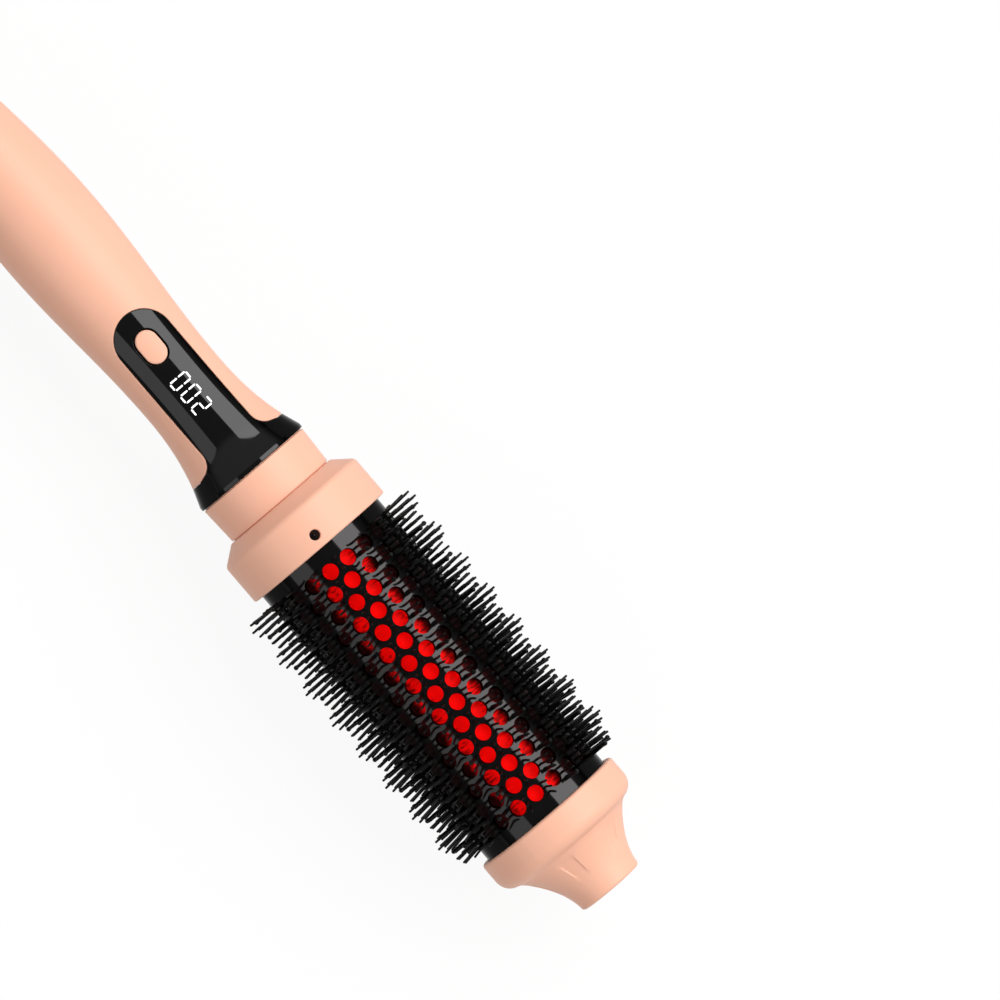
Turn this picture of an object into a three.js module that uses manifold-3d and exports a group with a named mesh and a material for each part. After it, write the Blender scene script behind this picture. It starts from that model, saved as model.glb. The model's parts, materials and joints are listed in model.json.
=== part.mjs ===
// Heated round brush lying along X, cord end at low X, display facing +Z, in millimetres.
// Stations are measured along the brush's axis from the cord end of the handle.
import * as THREE from 'three';
import { mergeVertices } from 'three/addons/utils/BufferGeometryUtils.js';
import Module from 'manifold-3d';

const wasm = await Module();
wasm.setup();

// Clearances, and how far joined shapes run into each other
const gap = 0.3;
const stackGap = 0.1;
const overlap = 0.5;

// Facets
const roundSides = 20;
const innerSides = 12;
const sleeveSides = 16;
const pinSides = 8;
const leadHoleSides = 6;
const wireSides = 5;
const arcSteps = 4;
const leastStep = 1.0;
const outerStretches = [5, 3, 4];
const innerStretches = [2, 1, 2];
const tipShoulderSteps = 3;
const tipNeckSteps = 4;
const tipHollowSteps = 2;

// Handle
const handleEndRadius = 8.0;
const bellyFromEnd = 82;
const bellyRadius = 14.5;
const waistFromBelly = 51;
const waistRadius = 12.0;
const shoulderFromWaist = 20.5;
const shoulderRadius = 14.6;
const shoulderPower = 2.2;
const shellWall = 2.0;
const endRingLength = 5.0;
const endRingRounding = 1.2;

// Cuff, neck and collar
const cuffLength = 5.8;
const cuffRadius = 16.4;
const cuffCone = 4.7;
const cuffBevel = 0.35;
const cuffStep = 0.1;
const neckLength = 10.2;
const neckEndRadius = 16.0;
const collarLength = 15.0;
const collarProud = 2.2;
const collarChamfer = 3.8;
const collarEdge = 0.5;
const collarStep = 0.3;
const collarWall = 2.8;
const collarRearWall = 2.2;

// Structural tube through the neck
const tubeRadius = 10.4;
const tubeWall = 1.4;
const tubeIntoHandle = 7.5;
const tubeFlangeRadius = 13.0;
const tubeFlangeLength = 2.0;

// Control panel
const panelWall = 1.6;
const tongueWidth = 15.6;
const tongueLength = 44.25;
const flareRadius = 3.3;
const buttonFromTongueEnd = 10.75;
const buttonLength = 9.4;
const buttonWidth = 6.2;
const buttonProud = 0.45;
const buttonGap = 0.35;
const buttonTravel = 0.6;
const buttonFlange = 0.9;
const buttonFlangeThickness = 0.8;
const stemRadius = 1.5;
const plungerStop = 0.2;

// Display board and what it carries
const displayBoardLevel = 2.8;
const displayBoardThickness = 1.2;
const displayBoardWidth = 13;
const displayBoardLength = 36;
const displayBoardMargin = 5.0;
const displayFromButton = 15;
const displayLength = 17;
const displayWidth = 8.6;
const displayHeight = 4.9;
const switchSize = 6.0;
const switchHeight = 2.6;
const plungerRadius = 1.75;
const plungerHeight = 1.6;

// Main board and what it carries
const boardFromRearScrew = 7.0;
const boardFromFrontScrew = 5.0;
const mainBoardWidth = 13;
const mainBoardThickness = 1.6;
const mainBoardLevel = -3.9;
const capacitorFromStart = 10;
const capacitorRadius = 4.0;
const capacitorLength = 13;
const ionModuleFromStart = 28;
const ionModuleSize = [20, 9, 7];
const triacFromBoardEnd = 13;
const triacSize = [4.5, 9, 8];
const triacSide = -2;
const postWidth = 2.0;
const postInset = 4.0;

// Cord swivel with its slip rings
const swivelNeckRadius = 4.6;
const swivelProud = 8.0;
const swivelChamfer = 0.8;
const swivelBoreRadius = 2.7;
const swivelFlangeRadius = 5.6;
const swivelFlangeLength = 1.8;
const swivelHubRadius = 4.0;
const swivelHubLength = 13.6;
const slipRingInset = 2.4;
const slipRingRadius = 5.0;
const slipRingWidth = 2.0;
const slipRingSpacing = 5.0;
const wiperThickness = 0.4;
const wiperWidth = 2.4;
const wiperEnd = 1.0;
const wiperBend = 0.15;

// Handle screws, driven from below
const screwShaftRadius = 1.2;
const screwHoleRadius = 1.5;
const screwHeadRadius = 2.5;
const screwHeadHeight = 1.6;
const screwSeatLevel = -6.0;
const screwReach = 4.0;
const screwTipClearance = 1.0;
const bossRadius = 4.0;
const upperBossRadius = 3.0;
const rearScrewFromEnd = 27;
const frontScrewFromEnd = 105;

// Barrel and bristles
const barrelVisible = 87.1;
const barrelRadius = 19.0;
const barrelWall = 1.2;
const collarSocketDepth = 1.5;
const holeColumns = 16;
const holesAround = 20;
const columnPitch = 5.0;
const holeRadius = 2.45;
const rootRadius = 0.62;
const tallStrand = 7.4;
const shortStrand = 5.9;
const barrelSlices = 4;
const restFlat = 0.5;

// Heater inside the barrel
const sleeveFromBarrel = 1.9;
const sleeveWall = 1.3;
const discThickness = 2.3;
const discSpigot = 2.0;
const frontDiscInset = 1.0;
const shoeChannelRadius = 3.2;
const shoeChannelHeight = 8.2;
const heaterScrewSide = 8.5;
const heaterScrewHeight = 5.5;
const heaterScrewReach = 11;
const stoneCount = 3;
const stoneWidth = 16;
const stoneThickness = 2.2;
const electrodeThickness = 0.4;
const insulationThickness = 0.3;
const insulationOverhang = 1.0;
const stackInset = 1.0;
const wireHoleSide = 4.5;
const wireRadius = 0.6;
const leadHoleRadius = 1.1;
const fuseFromShoeStart = 30;
const fuseRadius = 1.7;
const fuseLength = 10;
const sensorFromShoeStart = 50;
const sensorRadius = 1.3;
const sensorLength = 4;

// Ion outlet
const ionHoleRadius = 1.4;
const ionHoleFromCollarFront = 3.5;
const ionHolderSize = [3.6, 5, 3.5];
const ionHolderLevel = 9.5;
const ionNeedleRadius = 0.5;
const ionNeedleTipRadius = 0.15;

// Cool tip
const tipLength = 25.2;
const tipProud = 2.1;
const tipRim = 0.8;
const tipCylinder = 5.3;
const tipShoulderLength = 4.5;
const tipShoulderDrop = 4.2;
const tipNeckRadius = 9.1;
const tipNeckPower = 1.85;
const tipEndRounding = 0.9;
const tipSocketDepth = 2.6;
const tipWall = 2.6;

// Stations and levels worked out from the sizes above, and a length that reaches past every surface
const collarRadius = barrelRadius + collarProud;
const tipRadius = barrelRadius + tipProud;
const beyond = 2 * collarRadius;
const bellyStation = bellyFromEnd;
const waistStation = bellyStation + waistFromBelly;
const shoulderStation = waistStation + shoulderFromWaist;
const cuffStart = shoulderStation + gap;
const cuffEnd = cuffStart + cuffLength;
const neckStart = cuffEnd + gap;
const neckEnd = neckStart + neckLength;
const collarStart = neckEnd + gap;
const collarEnd = collarStart + collarLength;
const tipStart = collarEnd + barrelVisible;
const tipEnd = tipStart + tipLength;
const barrelStart = collarEnd - collarSocketDepth;
const barrelEnd = tipStart + tipSocketDepth;
const barrelBore = barrelRadius - barrelWall;
const tallTipRadius = barrelRadius + tallStrand;
const shortTipRadius = barrelRadius + shortStrand;
const socketRadius = barrelRadius + gap;
const columnsCentre = (collarEnd + tipStart) / 2;
const firstColumn = columnsCentre - (holeColumns - 1) / 2 * columnPitch;
const holeTurn = 2 * Math.PI / holesAround;
const shellStart = endRingLength + gap;
const tongueStart = shoulderStation - tongueLength;
const buttonStation = tongueStart + buttonFromTongueEnd;
const displayStation = buttonStation + displayFromButton;
const displayBoardTop = displayBoardLevel + displayBoardThickness;
const displayBoardStart = buttonStation - switchSize / 2 - displayBoardMargin;
const displayBoardEnd = displayBoardStart + displayBoardLength;
const switchTop = displayBoardTop + gap + switchHeight;
const plungerTop = switchTop + plungerStop + buttonTravel;
const mainBoardTop = mainBoardLevel + mainBoardThickness;
const mainBoardStart = rearScrewFromEnd + boardFromRearScrew;
const mainBoardEnd = frontScrewFromEnd - boardFromFrontScrew;
const ionModuleStart = mainBoardStart + ionModuleFromStart;
const ionModuleEnd = ionModuleStart + ionModuleSize[0];
const postSide = (mainBoardWidth - postWidth) / 2 - gap;
const swivelFlangeEnd = shellStart + gap + swivelFlangeLength;
const firstSlipRing = swivelFlangeEnd + slipRingInset;
const tubeStart = shoulderStation - tubeIntoHandle;
const tubeEnd = collarStart + collarRearWall + gap + tubeFlangeLength;
const tubeSeatRadius = tubeRadius + gap;
const sleeveRadius = barrelBore - sleeveFromBarrel;
const sleeveBore = sleeveRadius - sleeveWall;
const discRadius = barrelBore - gap;
const shoeRadius = sleeveBore - gap;
const rearDiscStart = barrelStart + gap;
const rearDiscEnd = rearDiscStart + discThickness;
const frontDiscEnd = barrelEnd - frontDiscInset;
const frontDiscStart = frontDiscEnd - discThickness;
const shoeStart = rearDiscEnd + discSpigot + gap;
const shoeEnd = frontDiscStart - discSpigot - gap;
const electrodeLevel = stoneThickness / 2 + stackGap;
const insulationLevel = electrodeLevel + electrodeThickness + stackGap;
const shoeFlat = insulationLevel + insulationThickness + stackGap;
const wireHoleHeight = electrodeLevel + electrodeThickness / 2;
const channelFloor = shoeChannelHeight - shoeChannelRadius;
const ionStation = collarEnd - ionHoleFromCollarFront;

// Finishes
function finish(color, roughness, metalness = 0) {
  return new THREE.MeshStandardMaterial({ color, roughness, metalness });
}

const peach = finish('#f8c8ab', 0.55);
const glossBlack = finish('#0c0c0d', 0.12);
const barrelBlack = finish('#0d0c0d', 0.2, 0.3);
const blackPlastic = finish('#1b1b1c', 0.5);
const heaterRed = finish('#f01010', 0.45);
const boardGreen = finish('#1d5a36', 0.6);
const aluminium = finish('#b9bcc0', 0.4, 1);
const steel = finish('#8f9296', 0.35, 1);
const brass = finish('#c79f4b', 0.35, 1);
const ceramic = finish('#5a5550', 0.8);
const mica = finish('#c9b48a', 0.7);
const whitePlastic = finish('#dedbd4', 0.5);

const brush = new THREE.Group();

function add(name, geometry, material) {
  const mesh = new THREE.Mesh(geometry, material);
  mesh.name = name;
  brush.add(mesh);
}

// Merges shared vertices, drops flattened triangles and turns the faces outwards.
function closed(geometry) {
  const bare = geometry.clone();
  bare.deleteAttribute('normal');
  bare.deleteAttribute('uv');
  const merged = mergeVertices(bare, 1e-4);
  const corner = new THREE.Vector3();
  const next = new THREE.Vector3();
  const last = new THREE.Vector3();
  const kept = [];
  let volume = 0;
  for (let i = 0; i < merged.index.count; i += 3) {
    const [a, b, c] = [0, 1, 2].map((k) => merged.index.getX(i + k));
    if (a === b || b === c || c === a) continue;
    kept.push([a, b, c]);
    corner.fromBufferAttribute(merged.attributes.position, a);
    next.fromBufferAttribute(merged.attributes.position, b);
    last.fromBufferAttribute(merged.attributes.position, c);
    volume += corner.dot(next.cross(last));
  }
  merged.setIndex(kept.flatMap(([a, b, c]) => (volume > 0 ? [a, b, c] : [a, c, b])));
  return merged;
}

function solid(geometry) {
  const shape = closed(geometry);
  const mesh = new wasm.Mesh({
    numProp: 3,
    vertProperties: new Float32Array(shape.attributes.position.array),
    triVerts: new Uint32Array(shape.index.array),
  });
  return new wasm.Manifold(mesh);
}

function geometryOf(body) {
  const mesh = body.getMesh();
  const geometry = new THREE.BufferGeometry();
  geometry.setAttribute('position', new THREE.BufferAttribute(mesh.vertProperties, 3));
  geometry.setIndex(new THREE.BufferAttribute(mesh.triVerts, 1));
  return geometry;
}

// Turns a closed outline of [station, radius] points round the brush's axis.
function turned(outline, sides = roundSides) {
  const points = outline.map(([station, radius]) => new THREE.Vector2(radius, station));
  if (outline[0][1] > 0) points.push(points[0].clone());
  return closed(new THREE.LatheGeometry(points, sides).rotateZ(-Math.PI / 2));
}

function block(low, high) {
  const size = high.map((value, k) => value - low[k]);
  const middle = high.map((value, k) => (value + low[k]) / 2);
  return closed(new THREE.BoxGeometry(...size).translate(...middle));
}

// A round bar from one point to another.
function bar(from, to, radius, sides = pinSides, endRadius = radius) {
  const start = new THREE.Vector3(...from);
  const reach = new THREE.Vector3(...to).sub(start);
  const geometry = new THREE.CylinderGeometry(endRadius, radius, reach.length(), sides);
  geometry.translate(0, reach.length() / 2, 0);
  geometry.applyQuaternion(new THREE.Quaternion().setFromUnitVectors(
    new THREE.Vector3(0, 1, 0), reach.clone().normalize()));
  return closed(geometry.translate(...start));
}

// An outline drawn in X and Y, raised from one level to another.
function raised(shape, low, high) {
  const geometry = new THREE.ExtrudeGeometry(shape, {
    depth: high - low, bevelEnabled: false, curveSegments: arcSteps });
  return closed(geometry.translate(0, 0, low));
}

// An outline drawn in Y and Z, run along the axis from one station to another.
function run(shape, start, end) {
  const geometry = new THREE.ExtrudeGeometry(shape, {
    depth: end - start, bevelEnabled: false, curveSegments: arcSteps });
  geometry.applyMatrix4(new THREE.Matrix4().makeBasis(
    new THREE.Vector3(0, 1, 0), new THREE.Vector3(0, 0, 1), new THREE.Vector3(1, 0, 0)));
  return closed(geometry.translate(start, 0, 0));
}

function slot(station, length, width) {
  const half = (length - width) / 2;
  const shape = new THREE.Shape();
  shape.absarc(station + half, 0, width / 2, -Math.PI / 2, Math.PI / 2);
  shape.absarc(station - half, 0, width / 2, Math.PI / 2, 3 * Math.PI / 2);
  return shape;
}

function wire(points, radius = wireRadius) {
  const path = new THREE.CatmullRomCurve3(points.map((point) => new THREE.Vector3(...point)));
  const section = new THREE.Shape(Array.from({ length: wireSides }, (_, k) => {
    const turn = 2 * Math.PI * k / wireSides;
    return new THREE.Vector2(radius * Math.cos(turn), radius * Math.sin(turn));
  }));
  return closed(new THREE.ExtrudeGeometry(section, { steps: 2 * (points.length - 1), extrudePath: path }));
}

// Handle surface

const ease = (share) => (1 - Math.cos(Math.PI * share)) / 2;

function handleRadius(station) {
  if (station < bellyStation) {
    return THREE.MathUtils.lerp(handleEndRadius, bellyRadius, ease(Math.max(station, 0) / bellyStation));
  }
  if (station < waistStation) {
    return THREE.MathUtils.lerp(bellyRadius, waistRadius, ease((station - bellyStation) / waistFromBelly));
  }
  const share = (station - waistStation) / shoulderFromWaist;
  return waistRadius + (shoulderRadius - waistRadius) * share ** shoulderPower;
}

// Stations where the handle's outline has its points, between two given ones. Its three stretches run
// from the end to the belly, on to the waist and on to the shoulder.
function handleStations(start, end, counts) {
  const knots = [0, bellyStation, waistStation, shoulderStation];
  const stations = counts.flatMap((count, part) => Array.from({ length: count }, (_, k) =>
    THREE.MathUtils.lerp(knots[part], knots[part + 1], (k + 1) / count)));
  return [start, ...stations.filter((x) => x > start + leastStep && x < end - leastStep), end];
}

// A skin of the handle: its outer face lies below the handle's surface by one depth, its inner by another.
function handleSkin(start, end, outerDepth, innerDepth) {
  const outer = handleStations(start, end, outerStretches).map((x) => [x, handleRadius(x) - outerDepth]);
  const inner = handleStations(start, end, innerStretches).map((x) => [x, handleRadius(x) - innerDepth]);
  return turned([...outer, ...inner.reverse()]);
}

function handleCore(start, end, depth) {
  const outline = handleStations(start, end, outerStretches).map((x) => [x, handleRadius(x) - depth]);
  return turned([[start, 0], ...outline, [end, 0]]);
}

// The panel's outline: a round-ended tongue that flares into the cuff.
function tongue(grow) {
  const half = tongueWidth / 2 + grow;
  const flareCentre = tongueWidth / 2 + flareRadius;
  const flareStart = shoulderStation - flareRadius;
  const shape = new THREE.Shape();
  shape.absarc(tongueStart + tongueWidth / 2, 0, half, Math.PI / 2, 3 * Math.PI / 2);
  shape.absarc(flareStart, -flareCentre, flareRadius - grow, Math.PI / 2, 0, true);
  shape.lineTo(cuffStart + overlap, -flareCentre);
  shape.lineTo(cuffStart + overlap, flareCentre);
  shape.absarc(flareStart, flareCentre, flareRadius - grow, 0, -Math.PI / 2, true);
  return shape;
}

// Handle shells

function post(station, side, top) {
  const half = postWidth / 2;
  return block([station - half, side - half, -beyond], [station + half, side + half, top]);
}

function lowerShell() {
  const inside = solid(handleCore(shellStart, shoulderStation, shellWall / 2));
  let shell = solid(handleSkin(shellStart, shoulderStation, 0, shellWall));
  shell = shell.subtract(solid(block([-beyond, -beyond, -gap / 2], [cuffEnd, beyond, beyond])));
  for (const [start, end, top] of [
    [mainBoardStart, mainBoardEnd, mainBoardLevel - gap],
    [displayBoardStart, displayBoardEnd, displayBoardLevel - gap],
  ]) {
    for (const station of [start + postInset, end - postInset]) {
      for (const side of [-postSide, postSide]) {
        shell = shell.add(solid(post(station, side, top)).intersect(inside));
      }
    }
  }
  for (const station of [rearScrewFromEnd, frontScrewFromEnd]) {
    const low = [station, 0, -beyond];
    const upTo = (level, radius, sides) => solid(bar(low, [station, 0, level], radius, sides));
    const boss = upTo(-gap / 2, bossRadius, innerSides).intersect(inside);
    const hole = upTo(overlap, screwHoleRadius, pinSides);
    const counterbore = upTo(screwSeatLevel, screwHeadRadius + gap, innerSides);
    shell = shell.add(boss).subtract(hole).subtract(counterbore);
  }
  return geometryOf(shell);
}

function upperShell() {
  const inside = solid(handleCore(shellStart, shoulderStation, shellWall / 2));
  let shell = solid(handleSkin(shellStart, shoulderStation, 0, shellWall));
  shell = shell.subtract(solid(block([-beyond, -beyond, -beyond], [cuffEnd, beyond, gap / 2])));
  shell = shell.subtract(solid(raised(tongue(gap), 0, beyond)));
  for (const station of [rearScrewFromEnd, frontScrewFromEnd]) {
    const boss = solid(bar([station, 0, gap / 2], [station, 0, beyond], upperBossRadius)).intersect(inside);
    const hole = solid(bar([station, 0, 0], [station, 0, screwReach + screwTipClearance], screwHoleRadius));
    shell = shell.add(boss).subtract(hole);
  }
  return geometryOf(shell);
}

function handleScrew(station) {
  const seat = screwSeatLevel - gap;
  const head = solid(bar([station, 0, seat - screwHeadHeight], [station, 0, seat], screwHeadRadius));
  const shaft = solid(bar([station, 0, seat - overlap], [station, 0, screwReach], screwShaftRadius));
  return geometryOf(head.add(shaft));
}

function endRing() {
  const inner = swivelNeckRadius + gap;
  return turned([
    [0, inner],
    [0, handleEndRadius - endRingRounding],
    [endRingRounding, handleRadius(endRingRounding)],
    [endRingLength, handleRadius(endRingLength)],
    [endRingLength, inner],
  ]);
}

// Control panel and button

function controlPanel() {
  const skin = solid(handleSkin(tongueStart - overlap, cuffStart + overlap, 0, panelWall));
  const cuff = solid(turned([
    [cuffStart, tubeSeatRadius],
    [cuffStart, shoulderRadius + cuffStep],
    [cuffStart + cuffCone, cuffRadius],
    [cuffEnd - cuffBevel, cuffRadius],
    [cuffEnd, cuffRadius - cuffBevel],
    [cuffEnd, tubeSeatRadius],
  ]));
  const opening = slot(buttonStation, buttonLength + 2 * buttonGap, buttonWidth + 2 * buttonGap);
  const panel = skin.intersect(solid(raised(tongue(0), 0, beyond))).add(cuff);
  return geometryOf(panel.subtract(solid(raised(opening, 0, beyond))));
}

function powerButton() {
  const flangeEnd = buttonStation + buttonLength / 2 + buttonFlange;
  const panelBore = handleRadius(flangeEnd) - panelWall;
  const flangeTop = Math.sqrt(panelBore ** 2 - (buttonWidth / 2 + buttonFlange) ** 2) - gap;
  const flangeBottom = flangeTop - buttonFlangeThickness;
  const face = solid(handleCore(tongueStart, displayStation, -buttonProud));
  const cap = solid(raised(slot(buttonStation, buttonLength, buttonWidth), flangeTop - overlap, beyond));
  const flange = slot(buttonStation, buttonLength + 2 * buttonFlange, buttonWidth + 2 * buttonFlange);
  const stem = bar([buttonStation, 0, plungerTop + gap], [buttonStation, 0, flangeTop], stemRadius);
  const body = cap.intersect(face).add(solid(raised(flange, flangeBottom, flangeTop))).add(solid(stem));
  return geometryOf(body);
}

function tactSwitch() {
  const half = switchSize / 2;
  const body = solid(block(
    [buttonStation - half, -half, displayBoardTop + gap],
    [buttonStation + half, half, switchTop],
  ));
  const wellFloor = plungerTop - plungerHeight - buttonTravel - stackGap;
  const well = bar([buttonStation, 0, wellFloor], [buttonStation, 0, plungerTop], plungerRadius + gap);
  return geometryOf(body.subtract(solid(well)));
}

function tactPlunger() {
  return bar([buttonStation, 0, plungerTop - plungerHeight], [buttonStation, 0, plungerTop], plungerRadius);
}

// Cord swivel

function cordSwivel() {
  const flangeStart = swivelFlangeEnd - swivelFlangeLength;
  return turned([
    [-swivelProud, swivelBoreRadius],
    [-swivelProud, swivelNeckRadius - swivelChamfer],
    [-swivelProud + swivelChamfer, swivelNeckRadius],
    [flangeStart, swivelNeckRadius],
    [flangeStart, swivelFlangeRadius],
    [swivelFlangeEnd, swivelFlangeRadius],
    [swivelFlangeEnd, swivelHubRadius],
    [swivelFlangeEnd + swivelHubLength, swivelHubRadius],
    [swivelFlangeEnd + swivelHubLength, swivelBoreRadius],
  ], innerSides);
}

function slipRing(start) {
  const bore = swivelHubRadius + gap;
  const end = start + slipRingWidth;
  return turned([[start, bore], [start, slipRingRadius], [end, slipRingRadius], [end, bore]], innerSides);
}

function wiper(start) {
  const crown = -slipRingRadius - gap;
  const foot = crown - wiperThickness - wiperBend;
  const end = start + slipRingWidth;
  const strip = new THREE.Shape([
    new THREE.Vector2(start - wiperEnd, foot),
    new THREE.Vector2(start, crown),
    new THREE.Vector2(end, crown),
    new THREE.Vector2(end + wiperEnd, foot),
    new THREE.Vector2(end + wiperEnd, foot - wiperThickness),
    new THREE.Vector2(end, crown - wiperThickness),
    new THREE.Vector2(start, crown - wiperThickness),
    new THREE.Vector2(start - wiperEnd, foot - wiperThickness),
  ]);
  const geometry = raised(strip, -wiperWidth / 2, wiperWidth / 2);
  return closed(geometry.rotateX(Math.PI / 2));
}

// Neck

function neckTube() {
  const bore = tubeRadius - tubeWall;
  const flangeStart = tubeEnd - tubeFlangeLength;
  return turned([
    [tubeStart, bore],
    [tubeStart, tubeRadius],
    [flangeStart, tubeRadius],
    [flangeStart, tubeFlangeRadius],
    [tubeEnd, tubeFlangeRadius],
    [tubeEnd, bore],
  ], innerSides);
}

function neckRing() {
  return turned([
    [neckStart, tubeSeatRadius],
    [neckStart, cuffRadius - cuffBevel],
    [neckEnd, neckEndRadius],
    [neckEnd, tubeSeatRadius],
  ]);
}

function collar() {
  const cavity = collarRadius - collarWall;
  const body = solid(turned([
    [collarStart, tubeSeatRadius],
    [collarStart, neckEndRadius + collarStep],
    [collarStart + collarChamfer, collarRadius],
    [collarEnd - collarEdge, collarRadius],
    [collarEnd, collarRadius - collarEdge],
    [collarEnd, socketRadius],
    [barrelStart - gap, socketRadius],
    [barrelStart - gap, cavity],
    [collarStart + collarChamfer + collarWall / 2, cavity],
    [collarStart + collarRearWall, neckEndRadius - collarWall],
    [collarStart + collarRearWall, tubeSeatRadius],
  ]));
  const outlet = bar([ionStation, 0, 0], [ionStation, 0, beyond], ionHoleRadius, innerSides);
  return geometryOf(body.subtract(solid(outlet)));
}

// Perforated barrel. Its wall is a lattice of diamonds, each with a hole in its middle and its corners
// at four strand roots: one in the columns before and after, and two in the hole's own column.

function barrelPoint(station, angle, radius) {
  return new THREE.Vector3(station, radius * Math.sin(angle), radius * Math.cos(angle));
}

// Triangles between a cell's rim and its hole, both running counter-clockwise round the cell.
function betweenLoops(rim, hole) {
  const faces = [];
  const turnOf = (loop, k) => loop[k % loop.length].turn + 2 * Math.PI * Math.floor(k / loop.length);
  let i = 0;
  let j = 0;
  while (i < rim.length || j < hole.length) {
    const rimNext = i < rim.length && (j >= hole.length || turnOf(rim, i + 1) <= turnOf(hole, j + 1));
    const here = rim[i % rim.length];
    const there = hole[j % hole.length];
    if (rimNext) {
      i += 1;
      faces.push([here, rim[i % rim.length], there]);
    } else {
      j += 1;
      faces.push([here, hole[j % hole.length], there]);
    }
  }
  return faces;
}

function barrelSlice(index) {
  const perSlice = holeColumns / barrelSlices;
  const columns = Array.from({ length: perSlice }, (_, k) => index * perSlice + k);
  const lastColumn = columns[perSlice - 1];
  const columnStation = (column) => firstColumn + column * columnPitch;
  const seam = (column) => columnStation(column) + columnPitch / 2;
  const startPlane = index === 0 ? barrelStart : seam(columns[0] - 1) + gap / 2;
  const endPlane = index === barrelSlices - 1 ? barrelEnd : seam(lastColumn) - gap / 2;
  const arcPitch = barrelRadius * holeTurn / 2;
  const soup = [];
  const face = (...points) => soup.push(...points);

  // A point given by its station and angle, and by how far it lies along and around the barrel from there.
  function at(station, angle, [along, around], radius) {
    const point = barrelPoint(station + along, angle + around / barrelRadius, radius);
    point.turn = (Math.atan2(around, along) + 2 * Math.PI) % (2 * Math.PI);
    return point;
  }

  const polygon = (count, radius, shift) => Array.from({ length: count }, (_, k) => {
    const turn = (k + shift) * 2 * Math.PI / count;
    return [radius * Math.cos(turn), radius * Math.sin(turn)];
  });
  const root = polygon(3, rootRadius, 0);
  const hole = polygon(6, holeRadius, 0.5);

  // One cell's rim: at each corner the root's points that face the cell, or on the bore the corner itself.
  function rimOf(column, radius) {
    const station = columnStation(column);
    const corner = (along, around, picks) => (radius === barrelRadius
      ? picks.map((k) => [along + root[k][0], around + root[k][1]])
      : [[along, around]]);
    const trimmed = (plane) => [[plane - station, -arcPitch / 2], [plane - station, arcPitch / 2]];
    return [
      ...(column === lastColumn ? trimmed(endPlane) : corner(columnPitch, 0, [2, 1])),
      ...corner(0, arcPitch, [0, 2]),
      ...(column === columns[0] ? trimmed(startPlane) : corner(-columnPitch, 0, [0])),
      ...corner(0, -arcPitch, [1, 0]),
    ];
  }

  function cell(column, angle) {
    const station = columnStation(column);
    const loop = (points, radius) => points.map((point) => at(station, angle, point, radius))
      .sort((p, q) => p.turn - q.turn);
    const outerHole = loop(hole, barrelRadius);
    const innerHole = loop(hole, barrelBore);
    const outerRim = loop(rimOf(column, barrelRadius), barrelRadius);
    const innerRim = loop(rimOf(column, barrelBore), barrelBore);
    for (const [a, b, c] of betweenLoops(outerRim, outerHole)) face(a, b, c);
    for (const [a, b, c] of betweenLoops(innerRim, innerHole)) face(a, c, b);
    for (let k = 0; k < hole.length; k += 1) {
      const m = (k + 1) % hole.length;
      face(outerHole[k], outerHole[m], innerHole[m]);
      face(outerHole[k], innerHole[m], innerHole[k]);
    }
  }

  function strand(column, angle) {
    const station = columnStation(column);
    const foot = root.map((point) => at(station, angle, point, barrelRadius));
    const tip = barrelPoint(station, angle, column % 2 === 0 ? tallTipRadius : shortTipRadius);
    for (let k = 0; k < foot.length; k += 1) face(foot[k], foot[(k + 1) % foot.length], tip);
  }

  // The wall between one root and the slice's end, left over by the trimmed cells on its two sides.
  function endCell(column, angle, plane, picks) {
    const station = columnStation(column);
    const edge = (around, radius) => at(plane, angle, [0, around], radius);
    const side = Math.sign(plane - station) * arcPitch / 2;
    const foot = picks.map((k) => at(station, angle, root[k], barrelRadius));
    face(foot[0], edge(-side, barrelRadius), edge(side, barrelRadius));
    if (foot.length > 1) face(foot[0], edge(side, barrelRadius), foot[1]);
    face(at(station, angle, [0, 0], barrelBore), edge(side, barrelBore), edge(-side, barrelBore));
  }

  function endWall(plane, direction) {
    for (let k = 0; k < 2 * holesAround; k += 1) {
      const [near, far] = [k + 0.5, k + 0.5 + direction].map((step) => step * holeTurn / 2);
      face(barrelPoint(plane, far, barrelRadius), barrelPoint(plane, near, barrelRadius),
        barrelPoint(plane, near, barrelBore));
      face(barrelPoint(plane, far, barrelRadius), barrelPoint(plane, near, barrelBore),
        barrelPoint(plane, far, barrelBore));
    }
  }

  for (const column of columns) {
    const holeShift = column % 2 === 0 ? holeTurn / 2 : 0;
    for (let k = 0; k < holesAround; k += 1) {
      const holeAngle = holeShift + k * holeTurn;
      const rootAngle = holeAngle + holeTurn / 2;
      cell(column, holeAngle);
      strand(column, rootAngle);
      if (column === lastColumn) endCell(column, rootAngle, endPlane, [0]);
      if (column === columns[0]) endCell(column, rootAngle, startPlane, [1, 2]);
    }
  }
  endWall(endPlane, 1);
  endWall(startPlane, -1);

  const geometry = new THREE.BufferGeometry().setFromPoints(soup);
  const floor = block([barrelStart, -beyond, -beyond], [barrelEnd, beyond, -tallTipRadius + restFlat]);
  return geometryOf(solid(geometry).subtract(solid(floor)));
}

// Heater

function heaterSleeve() {
  const [start, end] = [rearDiscEnd + gap, frontDiscStart - gap];
  return turned([
    [start, sleeveBore],
    [start, sleeveRadius],
    [end, sleeveRadius],
    [end, sleeveBore],
  ], sleeveSides);
}

// Heater screws and lead holes, as [side, height] on the discs.
const heaterScrewPlaces = [[heaterScrewSide, heaterScrewHeight], [-heaterScrewSide, -heaterScrewHeight]];
const leadPlaces = [[wireHoleSide, wireHoleHeight], [-wireHoleSide, -wireHoleHeight]];

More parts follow.
